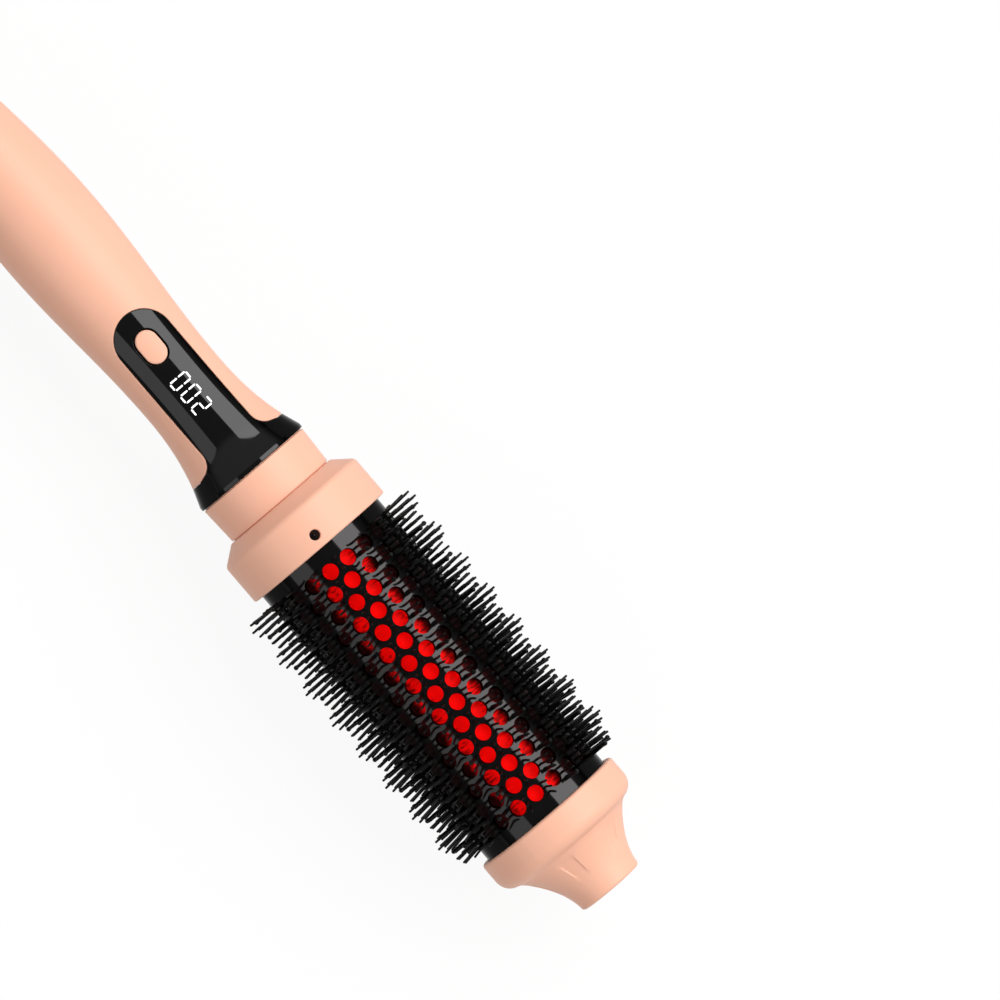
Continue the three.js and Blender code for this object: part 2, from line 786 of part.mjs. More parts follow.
function disc(start, spigotSide, holes) {
  const end = start + discThickness;
  const outline = spigotSide > 0
    ? [[start, 0], [start, discRadius], [end, discRadius], [end, shoeRadius], [end + discSpigot, shoeRadius],
      [end + discSpigot, 0]]
    : [[start - discSpigot, 0], [start - discSpigot, shoeRadius], [start, shoeRadius], [start, discRadius],
      [end, discRadius], [end, 0]];
  let body = solid(turned(outline, innerSides));
  for (const [side, height, radius] of holes) {
    const hole = bar([start - beyond, side, height], [end + beyond, side, height], radius, leadHoleSides);
    body = body.subtract(solid(hole));
  }
  return geometryOf(body);
}

function heaterShoe() {
  const edge = Math.asin(shoeFlat / shoeRadius);
  const shape = new THREE.Shape();
  shape.absarc(0, 0, shoeRadius, edge, Math.PI - edge);
  for (const [side, height, radius] of [
    [0, shoeChannelHeight, shoeChannelRadius],
    [heaterScrewSide, heaterScrewHeight, screwHoleRadius],
  ]) {
    const hole = new THREE.Path();
    hole.absarc(side, height, radius, 0, 2 * Math.PI, true);
    shape.holes.push(hole);
  }
  return run(shape, shoeStart, shoeEnd);
}

function heaterScrew(seat, direction, [side, height]) {
  const at = (along) => [seat + direction * along, side, height];
  const head = solid(bar(at(-gap - screwHeadHeight), at(-gap), screwHeadRadius));
  return geometryOf(head.add(solid(bar(at(-gap - overlap), at(heaterScrewReach), screwShaftRadius))));
}

function stackPlate(start, end, width, level, thickness) {
  return block([start, -width / 2, level], [end, width / 2, level + thickness]);
}

// Cool tip

const tipShoulderStart = tipStart + tipCylinder;
const tipNeckStart = tipShoulderStart + tipShoulderLength;
const tipNeckTop = tipRadius - tipShoulderDrop;

function tipNeck(station) {
  const share = (station - tipNeckStart) / (tipEnd - tipNeckStart);
  return tipNeckRadius + (tipNeckTop - tipNeckRadius) * (1 - share) ** tipNeckPower;
}

// The tip's outer outline, from its rear rim to the middle of its end face.
function tipOutline() {
  const outline = [[tipStart, tipRadius - tipRim], [tipStart + tipRim, tipRadius]];
  for (let k = 0; k <= tipShoulderSteps; k += 1) {
    const turn = Math.PI / 2 * k / tipShoulderSteps;
    outline.push([tipShoulderStart + tipShoulderLength * Math.sin(turn),
      tipNeckTop + tipShoulderDrop * Math.cos(turn)]);
  }
  const roundingStart = tipEnd - tipEndRounding;
  for (let k = 1; k <= tipNeckSteps; k += 1) {
    const station = THREE.MathUtils.lerp(tipNeckStart, roundingStart, k / tipNeckSteps);
    outline.push([station, tipNeck(station)]);
  }
  outline.push([tipEnd, tipNeckRadius - tipEndRounding], [tipEnd, 0]);
  return outline;
}

// The tip's hollow, from the middle of its closed end back to the barrel's socket.
function tipHollow() {
  const hollowEnd = tipEnd - tipWall;
  const outline = [[hollowEnd, 0]];
  for (let k = tipHollowSteps; k >= 1; k -= 1) {
    const station = THREE.MathUtils.lerp(tipNeckStart, hollowEnd, k / tipHollowSteps);
    outline.push([station, tipNeck(station) - tipWall]);
  }
  outline.push(
    [tipNeckStart - tipWall / 2, tipNeckTop - tipWall / 2],
    [tipShoulderStart, barrelBore],
    [barrelEnd + gap, barrelBore],
    [barrelEnd + gap, socketRadius],
    [tipStart, socketRadius],
  );
  return outline;
}

function coolTip() {
  return turned([...tipHollow(), ...tipOutline()]);
}

// Routes of the wires, from one end to the other

const besideRing = 3;
const belowRing = -Math.sqrt((slipRingRadius + gap + wireRadius) ** 2 - besideRing ** 2);
const boardWireLevel = mainBoardTop + gap + wireRadius;

function supplyRoute(station, side) {
  return [
    [station, side * besideRing, belowRing],
    [22, side * 3.4, belowRing + 0.1],
    [rearScrewFromEnd - 1, side * (bossRadius + gap + wireRadius + 0.2), -3],
    [mainBoardStart - 1, side * 4.9, boardWireLevel],
    [mainBoardStart + 4, side * 4.5, boardWireLevel],
  ];
}

function heaterRoute(side) {
  return [
    [mainBoardEnd - 4, side * 4.9, boardWireLevel],
    [frontScrewFromEnd, side * 5.4, boardWireLevel],
    [frontScrewFromEnd + 7, side * 3.2, boardWireLevel + 0.3],
    [displayBoardEnd, side * 2.6, 0],
    [tubeEnd - 8, side * 3, side * 0.6],
    [rearDiscStart - 5, side * wireHoleSide, side * wireHoleHeight],
    [shoeStart - gap, side * wireHoleSide, side * wireHoleHeight],
  ];
}

const ionRoute = [
  [ionModuleEnd + gap, 2.5, 2],
  [frontScrewFromEnd - 6, 4.2, 2],
  [frontScrewFromEnd, 5, 1.8],
  [frontScrewFromEnd + 8, 2.4, 1.2],
  [displayBoardEnd, 0, 1.2],
  [tubeEnd - 8, 0, 4.5],
  [tubeEnd, 0, 7.4],
  [ionStation - ionHolderSize[0] / 2 - gap, 0, ionHolderLevel + ionHolderSize[2] / 2],
];

// The brush, piece by piece

add('handle_upper_shell', upperShell(), peach);
add('handle_lower_shell', lowerShell(), peach);
add('handle_end_ring', endRing(), peach);
add('handle_screw_rear', handleScrew(rearScrewFromEnd), steel);
add('handle_screw_front', handleScrew(frontScrewFromEnd), steel);

add('cord_swivel', cordSwivel(), blackPlastic);
for (const [name, start] of [
  ['line', firstSlipRing],
  ['neutral', firstSlipRing + slipRingSpacing],
]) {
  add(`slip_ring_${name}`, slipRing(start), brass);
  add(`slip_ring_wiper_${name}`, wiper(start), brass);
}

add('control_panel', controlPanel(), glossBlack);
add('power_button', powerButton(), peach);
add('display_board', block(
  [displayBoardStart, -displayBoardWidth / 2, displayBoardLevel],
  [displayBoardEnd, displayBoardWidth / 2, displayBoardTop],
), boardGreen);
add('display_module', block(
  [displayStation - displayLength / 2, -displayWidth / 2, displayBoardTop + gap],
  [displayStation + displayLength / 2, displayWidth / 2, displayBoardTop + gap + displayHeight],
), blackPlastic);
add('tact_switch', tactSwitch(), blackPlastic);
add('tact_plunger', tactPlunger(), whitePlastic);

add('main_board', block(
  [mainBoardStart, -mainBoardWidth / 2, mainBoardLevel],
  [mainBoardEnd, mainBoardWidth / 2, mainBoardTop],
), boardGreen);
const capacitorStart = mainBoardStart + capacitorFromStart;
add('filter_capacitor', bar(
  [capacitorStart, 0, mainBoardTop + gap + capacitorRadius],
  [capacitorStart + capacitorLength, 0, mainBoardTop + gap + capacitorRadius],
  capacitorRadius, innerSides,
), blackPlastic);
add('ion_module', block(
  [ionModuleStart, -ionModuleSize[1] / 2, mainBoardTop + gap],
  [ionModuleEnd, ionModuleSize[1] / 2, mainBoardTop + gap + ionModuleSize[2]],
), whitePlastic);
const triacStart = mainBoardEnd - triacFromBoardEnd;
add('triac', block(
  [triacStart, triacSide - triacSize[1] / 2, mainBoardTop + gap],
  [triacStart + triacSize[0], triacSide + triacSize[1] / 2, mainBoardTop + gap + triacSize[2]],
), blackPlastic);

add('neck_tube', neckTube(), blackPlastic);
add('neck_ring', neckRing(), peach);
add('collar', collar(), peach);

add('ion_holder', block(
  [ionStation - ionHolderSize[0] / 2, -ionHolderSize[1] / 2, ionHolderLevel],
  [rearDiscStart - gap, ionHolderSize[1] / 2, ionHolderLevel + ionHolderSize[2]],
), whitePlastic);
add('ion_needle', bar(
  [ionStation, 0, ionHolderLevel + ionHolderSize[2] + gap],
  [ionStation, 0, collarRadius - collarWall],
  ionNeedleRadius, pinSides, ionNeedleTipRadius,
), steel);

for (let k = 0; k < barrelSlices; k += 1) {
  add(`barrel_slice_${k + 1}`, barrelSlice(k), barrelBlack);
}

const screwHoles = heaterScrewPlaces.map(([side, height]) => [side, height, screwHoleRadius]);
const leadHoles = leadPlaces.map(([side, height]) => [side, height, leadHoleRadius]);
add('rear_disc', disc(rearDiscStart, 1, [...screwHoles, ...leadHoles]), ceramic);
add('front_disc', disc(frontDiscStart, -1, screwHoles), ceramic);
add('heater_sleeve', heaterSleeve(), heaterRed);
add('heater_shoe_upper', heaterShoe(), aluminium);
add('heater_shoe_lower', closed(heaterShoe().rotateX(Math.PI)), aluminium);
heaterScrewPlaces.forEach((place, k) => {
  add(`rear_disc_screw_${k + 1}`, heaterScrew(rearDiscStart, 1, place), steel);
  add(`front_disc_screw_${k + 1}`, heaterScrew(frontDiscEnd, -1, place), steel);
});

const insulationWidth = stoneWidth + 2 * insulationOverhang;
const stonePitch = (shoeEnd - shoeStart - 2 * stackInset + gap) / stoneCount;
const stoneLength = stonePitch - gap;
for (let k = 0; k < stoneCount; k += 1) {
  const start = shoeStart + stackInset + k * stonePitch;
  add(`heating_stone_${k + 1}`,
    stackPlate(start, start + stoneLength, stoneWidth, -stoneThickness / 2, stoneThickness), ceramic);
}
for (const [name, flip] of [['upper', 1], ['lower', -1]]) {
  const electrode = stackPlate(
    shoeStart, shoeEnd - stackInset, stoneWidth, electrodeLevel, electrodeThickness);
  const sheet = stackPlate(
    shoeStart + stackInset, shoeEnd, insulationWidth, insulationLevel, insulationThickness);
  add(`electrode_${name}`, closed(flip > 0 ? electrode : electrode.rotateX(Math.PI)), brass);
  add(`insulation_sheet_${name}`, closed(flip > 0 ? sheet : sheet.rotateX(Math.PI)), mica);
}

const fuseStart = shoeStart + fuseFromShoeStart;
add('thermal_fuse', bar(
  [fuseStart, 0, channelFloor + gap + fuseRadius],
  [fuseStart + fuseLength, 0, channelFloor + gap + fuseRadius],
  fuseRadius,
), whitePlastic);
const sensorStart = shoeStart + sensorFromShoeStart;
add('temperature_sensor', bar(
  [sensorStart, 0, channelFloor + gap + sensorRadius],
  [sensorStart + sensorLength, 0, channelFloor + gap + sensorRadius],
  sensorRadius,
), ceramic);

add('cool_tip', coolTip(), peach);

add('supply_wire_line', wire(supplyRoute(firstSlipRing, 1)), brass);
add('supply_wire_neutral', wire(supplyRoute(firstSlipRing + slipRingSpacing, -1)), brass);
add('heater_wire_live', wire(heaterRoute(1)), brass);
add('heater_wire_neutral', wire(heaterRoute(-1)), brass);
add('ion_wire', wire(ionRoute), whitePlastic);

// The origin is under the middle of the brush, on the surface that its bristles lie on.
const box = new THREE.Box3().setFromObject(brush);
brush.position.set(-(box.min.x + box.max.x) / 2, -(box.min.y + box.max.y) / 2, -box.min.z);

export default brush;
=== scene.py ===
"""Heated round brush: the looks of its packed model, laid out as a Blender add-on and run as a script."""

import json
import math

import bmesh
import bpy
import numpy as np
from bpy.props import FloatProperty, FloatVectorProperty, IntProperty, PointerProperty
from mathutils import Matrix, Vector
from mathutils.geometry import delaunay_2d_cdt


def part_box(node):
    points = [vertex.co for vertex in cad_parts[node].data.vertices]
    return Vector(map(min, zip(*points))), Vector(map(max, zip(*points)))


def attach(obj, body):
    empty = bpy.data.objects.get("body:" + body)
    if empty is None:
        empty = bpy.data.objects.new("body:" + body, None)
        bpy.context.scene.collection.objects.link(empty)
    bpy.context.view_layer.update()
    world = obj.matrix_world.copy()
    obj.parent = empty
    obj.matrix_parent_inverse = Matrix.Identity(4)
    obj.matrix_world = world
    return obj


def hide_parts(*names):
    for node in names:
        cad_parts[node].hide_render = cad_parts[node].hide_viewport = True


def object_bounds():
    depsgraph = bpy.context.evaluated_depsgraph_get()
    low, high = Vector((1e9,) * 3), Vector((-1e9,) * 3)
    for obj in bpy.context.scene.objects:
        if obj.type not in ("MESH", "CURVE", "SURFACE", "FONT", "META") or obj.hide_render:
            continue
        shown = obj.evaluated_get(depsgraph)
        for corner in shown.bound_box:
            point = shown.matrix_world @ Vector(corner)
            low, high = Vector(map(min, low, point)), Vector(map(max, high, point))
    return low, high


bl_info = {
    "name": "Heated Round Brush",
    "version": (1, 0, 0),
    "blender": (4, 5, 0),
    "location": "View3D > Sidebar > Round Brush",
    "description": "Builds a heated round hair brush, piece by piece, around its packed model",
    "category": "Object",
}

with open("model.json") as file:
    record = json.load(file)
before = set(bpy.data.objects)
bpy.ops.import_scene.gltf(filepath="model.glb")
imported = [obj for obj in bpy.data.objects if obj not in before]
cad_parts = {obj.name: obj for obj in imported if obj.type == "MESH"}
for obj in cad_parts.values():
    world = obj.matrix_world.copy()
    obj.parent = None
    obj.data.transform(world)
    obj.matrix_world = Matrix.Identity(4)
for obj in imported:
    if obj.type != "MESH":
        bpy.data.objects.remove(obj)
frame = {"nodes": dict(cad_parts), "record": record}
CAD_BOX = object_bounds()

MM = 0.001
DEGREE = math.pi / 180
TURN = 2 * math.pi

# A point of a turned outline with a radius below this lies on the axis
ON_AXIS = 1e-9

# Stations run along the brush from the cord end of the handle. All lengths are in metres.
CORD_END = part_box("handle_end_ring")[0].x
AXIS_HEIGHT = (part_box("cool_tip")[0].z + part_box("cool_tip")[1].z) / 2
AXIS = Vector((0, 0, AXIS_HEIGHT))

# Clearance of the sockets that the barrel sits in, wall of the neck tube, and reach of a weld
SOCKET_GAP = 0.15 * MM
NECK_TUBE_WALL = 2.3 * MM
WELD = 0.004 * MM

# Radii near the handle's own, with which its plates' angles are laid out flat
HANDLE_SCALE = 13.5 * MM
TONGUE_SCALE = 12.5 * MM


def span(node):
    """The stations where a CAD node starts and ends."""
    low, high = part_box(node)
    return low.x - CORD_END, high.x - CORD_END


def reach(node):
    """How far a CAD node of round section reaches from the brush's axis."""
    low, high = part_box(node)
    return (high.y - low.y) / 2


def middle(node):
    """The station of a CAD node's middle."""
    return sum(span(node)) / 2


# Values that the user can change


def length(name, value, description):
    """A length in metres."""
    return FloatProperty(
        name=name, default=value, min=0.0, precision=5, subtype="DISTANCE", unit="LENGTH",
        description=description)


def angle(name, degrees, description):
    """An angle, given in degrees."""
    return FloatProperty(
        name=name, default=degrees * DEGREE, subtype="ANGLE", unit="ROTATION", description=description)


def number(name, value, description):
    """A plain number."""
    return FloatProperty(name=name, default=value, description=description)


def count(name, value, least, description, most=999):
    """A whole number."""
    return IntProperty(name=name, default=value, min=least, max=most, description=description)


def linear(hex_code):
    """The linear RGBA colour of an sRGB hex code."""
    channels = [int(hex_code[k:k + 2], 16) / 255 for k in (1, 3, 5)]
    return [c / 12.92 if c <= 0.04045 else ((c + 0.055) / 1.055) ** 2.4 for c in channels] + [1.0]


def colour(name, hex_code, description):
    """A colour, given as an sRGB hex code."""
    return FloatVectorProperty(
        name=name, default=linear(hex_code), size=4, min=0.0, max=1.0, subtype="COLOR",
        description=description)


class HandleSizes(bpy.types.PropertyGroup):
    """The waisted handle and what is set into it."""

    end_radius: length("End radius", 8.0 * MM, "Radius at the cord end")
    belly_station: length("Belly", 82 * MM, "Where the handle is thickest")
    belly_radius: length("Belly radius", 14.3 * MM, "Radius where the handle is thickest")
    waist_station: length("Waist", 133 * MM, "Where the handle is thinnest in front of the belly")
    waist_radius: length("Waist radius", 11.85 * MM, "Radius at the waist")
    shoulder_station: length("Shoulder", span("handle_upper_shell")[1], "Where the handle meets the cuff")
    shoulder_radius: length("Shoulder radius", 14.6 * MM, "Radius where the handle meets the cuff")
    shoulder_power: number("Shoulder curve", 2.2, "How sharply the handle widens towards the cuff")
    shell_wall: length("Shell wall", 2.0 * MM, "Wall of the two shells")
    parting_gap: length("Parting gap", 0.05 * MM, "Gap between the two shells")
    edge_rounding: length("Edge rounding", 0.22 * MM, "Rounding of the shells' edges")
    well_radius: length("Screw well radius", 2.8 * MM, "Radius of the wells that the screws sit in")
    well_floor: length("Screw well floor", 6.0 * MM, "Depth of the wells' floor below the axis")


class PanelSizes(bpy.types.PropertyGroup):
    """The gloss black tongue with its cuff, the button and the digits."""

    tongue_start: length("Tongue start", 0.6 * MM, "From the panel's rear end to the tongue's edge")
    tongue_width: length("Tongue width", 15.6 * MM, "Width of the tongue")
    flare_radius: length("Flare radius", 4.8 * MM, "Radius with which the tongue widens into the cuff")
    tongue_gap: length("Tongue gap", 0.14 * MM, "Gap between the tongue and the handle")
    tongue_rounding: length("Tongue rounding", 0.18 * MM, "Rounding of the tongue's edge")
    panel_wall: length("Panel wall", 1.5 * MM, "Wall of the tongue")
    cuff_radius: length("Cuff radius", reach("control_panel"), "Largest radius of the cuff")
    cuff_cone: length("Cuff cone", 4.7 * MM, "Length of the cuff's cone")
    button_length: length("Button length", 9.4 * MM, "Length of the button")
    button_width: length("Button width", 6.2 * MM, "Width of the button")
    button_gap: length("Button gap", 0.35 * MM, "Gap round the button")
    button_proud: length("Button proud", 0.45 * MM, "How far the button stands above the panel")
    button_rounding: length("Button rounding", 0.5 * MM, "Rounding of the button's edge")
    digit_height: length("Digit height", 5.5 * MM, "Height of the display's digits")
    digit_width: length("Digit width", 2.7 * MM, "Width of a digit")
    digit_pitch: length("Digit pitch", 4.04 * MM, "Distance from one digit to the next")
    digit_stroke: length("Segment width", 0.42 * MM, "Width of a lit segment")
    digit_gap: length("Segment gap", 0.38 * MM, "From a digit's corner to the end of a segment")
    digit_shift: length("Digit shift", 0.2 * MM, "From the middle of the module to that of the digits")
    reading: count("Reading", 200, 0, "The temperature shown")


class NeckSizes(bpy.types.PropertyGroup):
    """Neck ring, collar and cord swivel."""

    ring_radius: length("Neck ring radius", 16.05 * MM, "Radius of the neck ring at the cuff")
    ring_end_radius: length("Neck ring end radius", 15.6 * MM, "Radius of the neck ring at the collar")
    lip_depth: length("Lip depth", 0.55 * MM, "How deep the seams at the neck ring's two ends are")
    collar_radius: length("Collar radius", reach("collar"), "Radius of the collar")
    collar_chamfer: length("Collar chamfer", 3.8 * MM, "Length of the collar's cone")
    collar_rounding: length("Collar rounding", 0.5 * MM, "Rounding of the collar's front edge")
    outlet_radius: length("Ion outlet radius", 1.4 * MM, "Radius of the ion outlet")
    outlet_bevel: length("Ion outlet bevel", 0.3 * MM, "Bevel of the ion outlet")
    outlet_from_front: length("Ion outlet place", 3.5 * MM, "From the collar's front edge to the outlet")
    swivel_ribs: count("Swivel ribs", 18, 3, "Grip ribs round the swivel")


class BarrelSizes(bpy.types.PropertyGroup):
    """The perforated barrel, its bristles and the heater sleeve."""

    radius: length("Barrel radius", 19.0 * MM, "Radius of the bare barrel")
    wall: length("Barrel wall", 1.2 * MM, "Wall of the barrel")
    columns: count("Columns", 16, 2, "Rings of holes along the barrel")
    around: count("Holes around", 20, 6, "Holes in one ring")
    pitch: length("Column pitch", 5.0 * MM, "Distance from one ring of holes to the next")
    hole_radius: length("Hole radius", 2.12 * MM, "Radius of a hole")
    hole_bevel: length("Hole bevel", 0.2 * MM, "Bevel of a hole's rim")
    strand_radius: length("Strand radius", 0.34 * MM, "Radius of a bristle at its root")
    strand_spacing: length("Strand spacing", 1.45 * MM, "Distance between the strands of a tuft")
    strand_spread: length(
        "Strand spread", 0.38 * MM, "How far a tuft's outer strands lean out at their tips")
    tuft_pitch: length("Tuft pitch", 5.06 * MM, "Distance from one ring of tufts to the next")
    tuft_shift: length(
        "Tuft shift", 0.5 * MM, "How far the first tufts stand back from the middle of the holes")
    tuft_fan: angle("Tuft fan", 0.26, "How much further each ring of tufts leans towards the tip")
    tall: length("Tall strand", 7.95 * MM, "How far the taller tufts stand above the barrel")
    short: length("Short strand", 6.1 * MM, "How far the shorter tufts stand above the barrel")
    tuft_lean: angle("Tuft lean", 1.0, "Largest lean of a tuft from its own upright")
    pin_radius: length("Pin radius", 0.5 * MM, "Radius of a pin's shaft")
    ball_radius: length("Ball radius", 0.64 * MM, "Radius of the ball on a pin")
    pin_height: length("Pin height", 5.3 * MM, "From the barrel's surface to the middle of the ball")
    pin_shift_left: length(
        "Pin shift on one side", 1.6 * MM, "How far the pins stand forward on the +Y side")
    pin_shift_right: length("Pin shift on the other", 1.9 * MM, "How far they stand back on the -Y side")
    sleeve_radius: length("Sleeve radius", reach("heater_sleeve"), "Radius of the heater sleeve")
    sleeve_wall: length("Sleeve wall", 1.3 * MM, "Wall of the heater sleeve")


class TipSizes(bpy.types.PropertyGroup):
    """The cool tip with its flutes."""

    radius: length("Tip radius", reach("cool_tip"), "Largest radius of the tip")
    rim: length("Rim rounding", 0.9 * MM, "Rounding of the rim beside the barrel")
    cylinder: length("Tip cylinder", 5.3 * MM, "Length of the rim's straight part")
    shoulder_length: length("Shoulder length", 4.5 * MM, "Length of the rounded shoulder")
    shoulder_drop: length("Shoulder drop", 4.2 * MM, "How far the shoulder falls towards the neck")
    crease: length("Crease rounding", 1.75 * MM, "Rounding of the crease between shoulder and neck")
    neck_radius: length("Neck radius", 9.1 * MM, "Radius near the end face")
    neck_power: number("Neck curve", 1.85, "How sharply the neck draws in")
    wall: length("Tip wall", 2.6 * MM, "Wall of the tip")
    end_rounding: length("End rounding", 0.9 * MM, "Rounding of the end face's edge")
    flutes: count("Flutes", 6, 3, "Shallow grip flutes round the neck")
    flute_depth: length("Flute depth", 0.36 * MM, "Depth of a flute")
    flute_width: angle("Flute width", 19, "Angle that a flute takes up")
    flute_turn: angle("Flute turn", -21, "Angle of the first flute from the display's line")
    flute_start: length("Flute start", 1.3 * MM, "From the shoulder's end to the flutes")
    flute_length: length("Flute length", 7.5 * MM, "Length of a flute")


class BrushColours(bpy.types.PropertyGroup):
    """Colours of the finishes."""

    peach: colour("Peach", "#FBBEA2", "Soft-touch plastic of handle, collar and tip")
    panel: colour("Panel", "#3B3B3B", "Smoked black of the control panel")
    coating: colour("Barrel coating", "#3A3939", "Ceramic coating of the barrel")
    nylon: colour("Nylon", "#040404", "Bristles")
    # Heater: red is the silicone's own colour; the darker red of the flanks is painted shade, and the two
    # glow colours are a painted glow, as the heater is no lamp
    red: colour("Heater red", "#FF0202", "Silicone on the heater, where it faces the display's side")
    painted_shade_maroon: colour("Heater shade", "#3A0306", "Silicone on the heater's flanks")
    glow: colour("Heater glow", "#FF0000", "Light that the silicone spreads on the display's side")
    glow_shade: colour("Heater glow's shade", "#1A0000", "Light that it spreads on the flanks")
    lit: colour("Lit segment", "#FFFFFF", "Display segments")
    black: colour("Black plastic", "#19191A", "Moulded black plastic")
    white: colour("White plastic", "#DDD9D1", "Moulded white plastic")
    board: colour("Circuit board", "#1B5A35", "Solder mask of the circuit boards")
    aluminium: colour("Aluminium", "#C4C6C9", "Heater shoes")
    steel: colour("Steel", "#B4B7BB", "Screws and needle")
    brass: colour("Brass", "#D9B45F", "Electrodes, slip rings and wires")
    ceramic: colour("Ceramic", "#6E6862", "Discs and heating stones")
    mica: colour("Mica", "#C6B083", "Insulation sheets")


class StageSizes(bpy.types.PropertyGroup):
    """Floor, lamps and camera."""

    floor_size: length("Floor size", 8.0, "Side of the floor")
    lamp_distance: length("Lamp distance", 3.0, "From the brush to each lamp")
    key_level: number("Key lamp level", 2.61, "Brightness of the key lamp's face")
    fill_level: number("Fill lamp level", 0.7, "Brightness of the fill lamp's face")
    air_level: number("Air level", 0.34, "Brightness of the surroundings")
    camera_lens: number("Lens", 353.6, "Focal length in millimetres")


# Shape helpers


def place(station, turn, radius):
    """A point given by its station, its angle from the display's line towards +Y, and its radius."""
    return Vector((CORD_END + station, radius * math.sin(turn), AXIS_HEIGHT + radius * math.cos(turn)))


def new_object(name, data):
    """A mesh, lamp or camera as an object in the scene, at the origin."""
    thing = bpy.data.objects.new(name, data)
    bpy.context.scene.collection.objects.link(thing)
    return thing


def shade(mesh, normals=None, sharp=35 * DEGREE):
    """Smooth shading that breaks at sharp edges, with the given corner normals where there are some."""
    mesh.polygons.foreach_set("use_smooth", [True] * len(mesh.polygons))
    mesh.set_sharp_from_angle(angle=sharp)
    if normals is not None:
        mesh.normals_split_custom_set(normals)
    mesh.update()


def new_mesh(name, verts, faces, normals=None, sharp=35 * DEGREE):
    """An object of the given faces, shaded."""
    mesh = bpy.data.meshes.new(name)
    mesh.from_pydata(verts, [], faces)
    shade(mesh, normals, sharp)
    return new_object(name, mesh)


def built(name, build):
    """An object made from a bmesh, which is used up."""
    mesh = bpy.data.meshes.new(name)
    build.to_mesh(mesh)
    build.free()
    shade(mesh)
    return new_object(name, mesh)


def applied(thing, modifier):
    """Leaves a modifier's result as the object's plain mesh."""
    thing.update_tag()
    bpy.context.view_layer.update()
    source = thing.data
    shape = thing.evaluated_get(bpy.context.evaluated_depsgraph_get())
    mesh = bpy.data.meshes.new_from_object(shape)
    thing.modifiers.remove(modifier)
    thing.data = mesh
    bpy.data.meshes.remove(source)
    mesh.name = thing.name


def carve(thing, tool):
    """Cuts one object out of another."""
    cut = thing.modifiers.new("cut", "BOOLEAN")
    cut.object = tool
    cut.operation = "DIFFERENCE"
    cut.solver = "EXACT"
    cut.use_self = True
    applied(thing, cut)
    bpy.data.objects.remove(tool)


def dress(thing, body, slot, *nodes, finish=None):
    """Gives a finished piece its body and its material, and hides the CAD nodes that it stands for.

    The material is the slot's own unless another finish is named."""
    thing.data.materials.clear()
    thing.data.materials.append(material_of(finish or slot))
    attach(thing, body)
    if nodes:
        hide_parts(*nodes)


def rounded(outline, steps=4):
    """A closed outline of (station, radius) or (station, radius, rounding) with its corners rounded."""
    points = []
    for k, corner in enumerate(outline):
        here = Vector(corner[:2])
        if len(corner) < 3:
            points.append(here)
            continue
        before = (Vector(outline[k - 1][:2]) - here).normalized()
        after = (Vector(outline[(k + 1) % len(outline)][:2]) - here).normalized()
        half = before.angle(after) / 2
        away = corner[2] / math.tan(half)
        centre = here + (before + after).normalized() * corner[2] / math.sin(half)
        first = here + before * away - centre
        last = here + after * away - centre
        sweep = first.angle(last)
        for share in (step / steps for step in range(steps + 1)):
            mixed = first * math.sin((1 - share) * sweep) + last * math.sin(share * sweep)
            points.append(centre + mixed / math.sin(sweep))
    return points


def signed_area(loop):
    """Twice the area of a loop of points, positive where it runs anticlockwise."""
    return sum(loop[k - 1][0] * loop[k][1] - loop[k][0] * loop[k - 1][1] for k in range(len(loop)))


def outline_normals(points, sharp=40 * DEGREE):
    """For each stretch of a closed outline, the outward normals at its two ends."""
    total = len(points)
    side = 1 if signed_area(points) > 0 else -1
    steps = [points[(k + 1) % total] - points[k] for k in range(total)]
    plain = [Vector((step.y, -step.x)).normalized() * side for step in steps]
    ends = []
    for k in range(total):
        pair = []
        for other in (k - 1, (k + 1) % total):
            if plain[k].angle(plain[other], 0.0) > sharp:
                pair.append(plain[k])
            else:
                pair.append((plain[k] * steps[k].length + plain[other] * steps[other].length).normalized())
        ends.append(pair)
    return ends


def turned(name, outline, sides, put, aim, clockwise):
    """A closed outline turned round an axis, with even shading on its flats and roundings.

    Put gives the place of (distance along the axis, angle, radius), and aim a normal's direction. The
    outline has to run clockwise where the angle turns the other way about the axis."""
    points = [Vector(p) for p in outline]
    if (signed_area(points) < 0) != clockwise:
        points.reverse()
    ends = outline_normals(points)
    turns = [TURN * j / sides for j in range(sides)]
    verts = [put(p.x, turn, p.y) for p in points for turn in turns]
    faces = []
    normals = []
    for k, near in enumerate(points):
        following = (k + 1) % len(points)
        far = points[following]
        if near.y < ON_AXIS and far.y < ON_AXIS:
            continue
        for j in range(sides):
            beside = (j + 1) % sides
            corners = [(k, j, 0), (k, beside, 0), (following, beside, 1), (following, j, 1)]
            if near.y < ON_AXIS:
                del corners[1]
            elif far.y < ON_AXIS:
                del corners[2]
            faces.append([row * sides + column for row, column, _ in corners])
            normals += [aim(*ends[k][end], turns[column]) for _, column, end in corners]
    thing = new_mesh(name, verts, faces, normals)
    weld(thing.data)
    return thing


def lathe(name, outline, sides=96):
    """An outline of (station, radius) turned round the brush's axis."""
    return turned(name, outline, sides, place,
                  lambda along, out, turn: (along, out * math.sin(turn), out * math.cos(turn)), False)


def spun(name, outline, centre, sides):
    """An outline of (radius, height) turned round an upright axis."""
    def put(height, turn, radius):
        return (centre[0] + radius * math.cos(turn), centre[1] + radius * math.sin(turn), centre[2] + height)

    return turned(name, [(point[1], point[0]) for point in outline], sides, put,
                  lambda along, out, turn: (out * math.cos(turn), out * math.sin(turn), along), True)


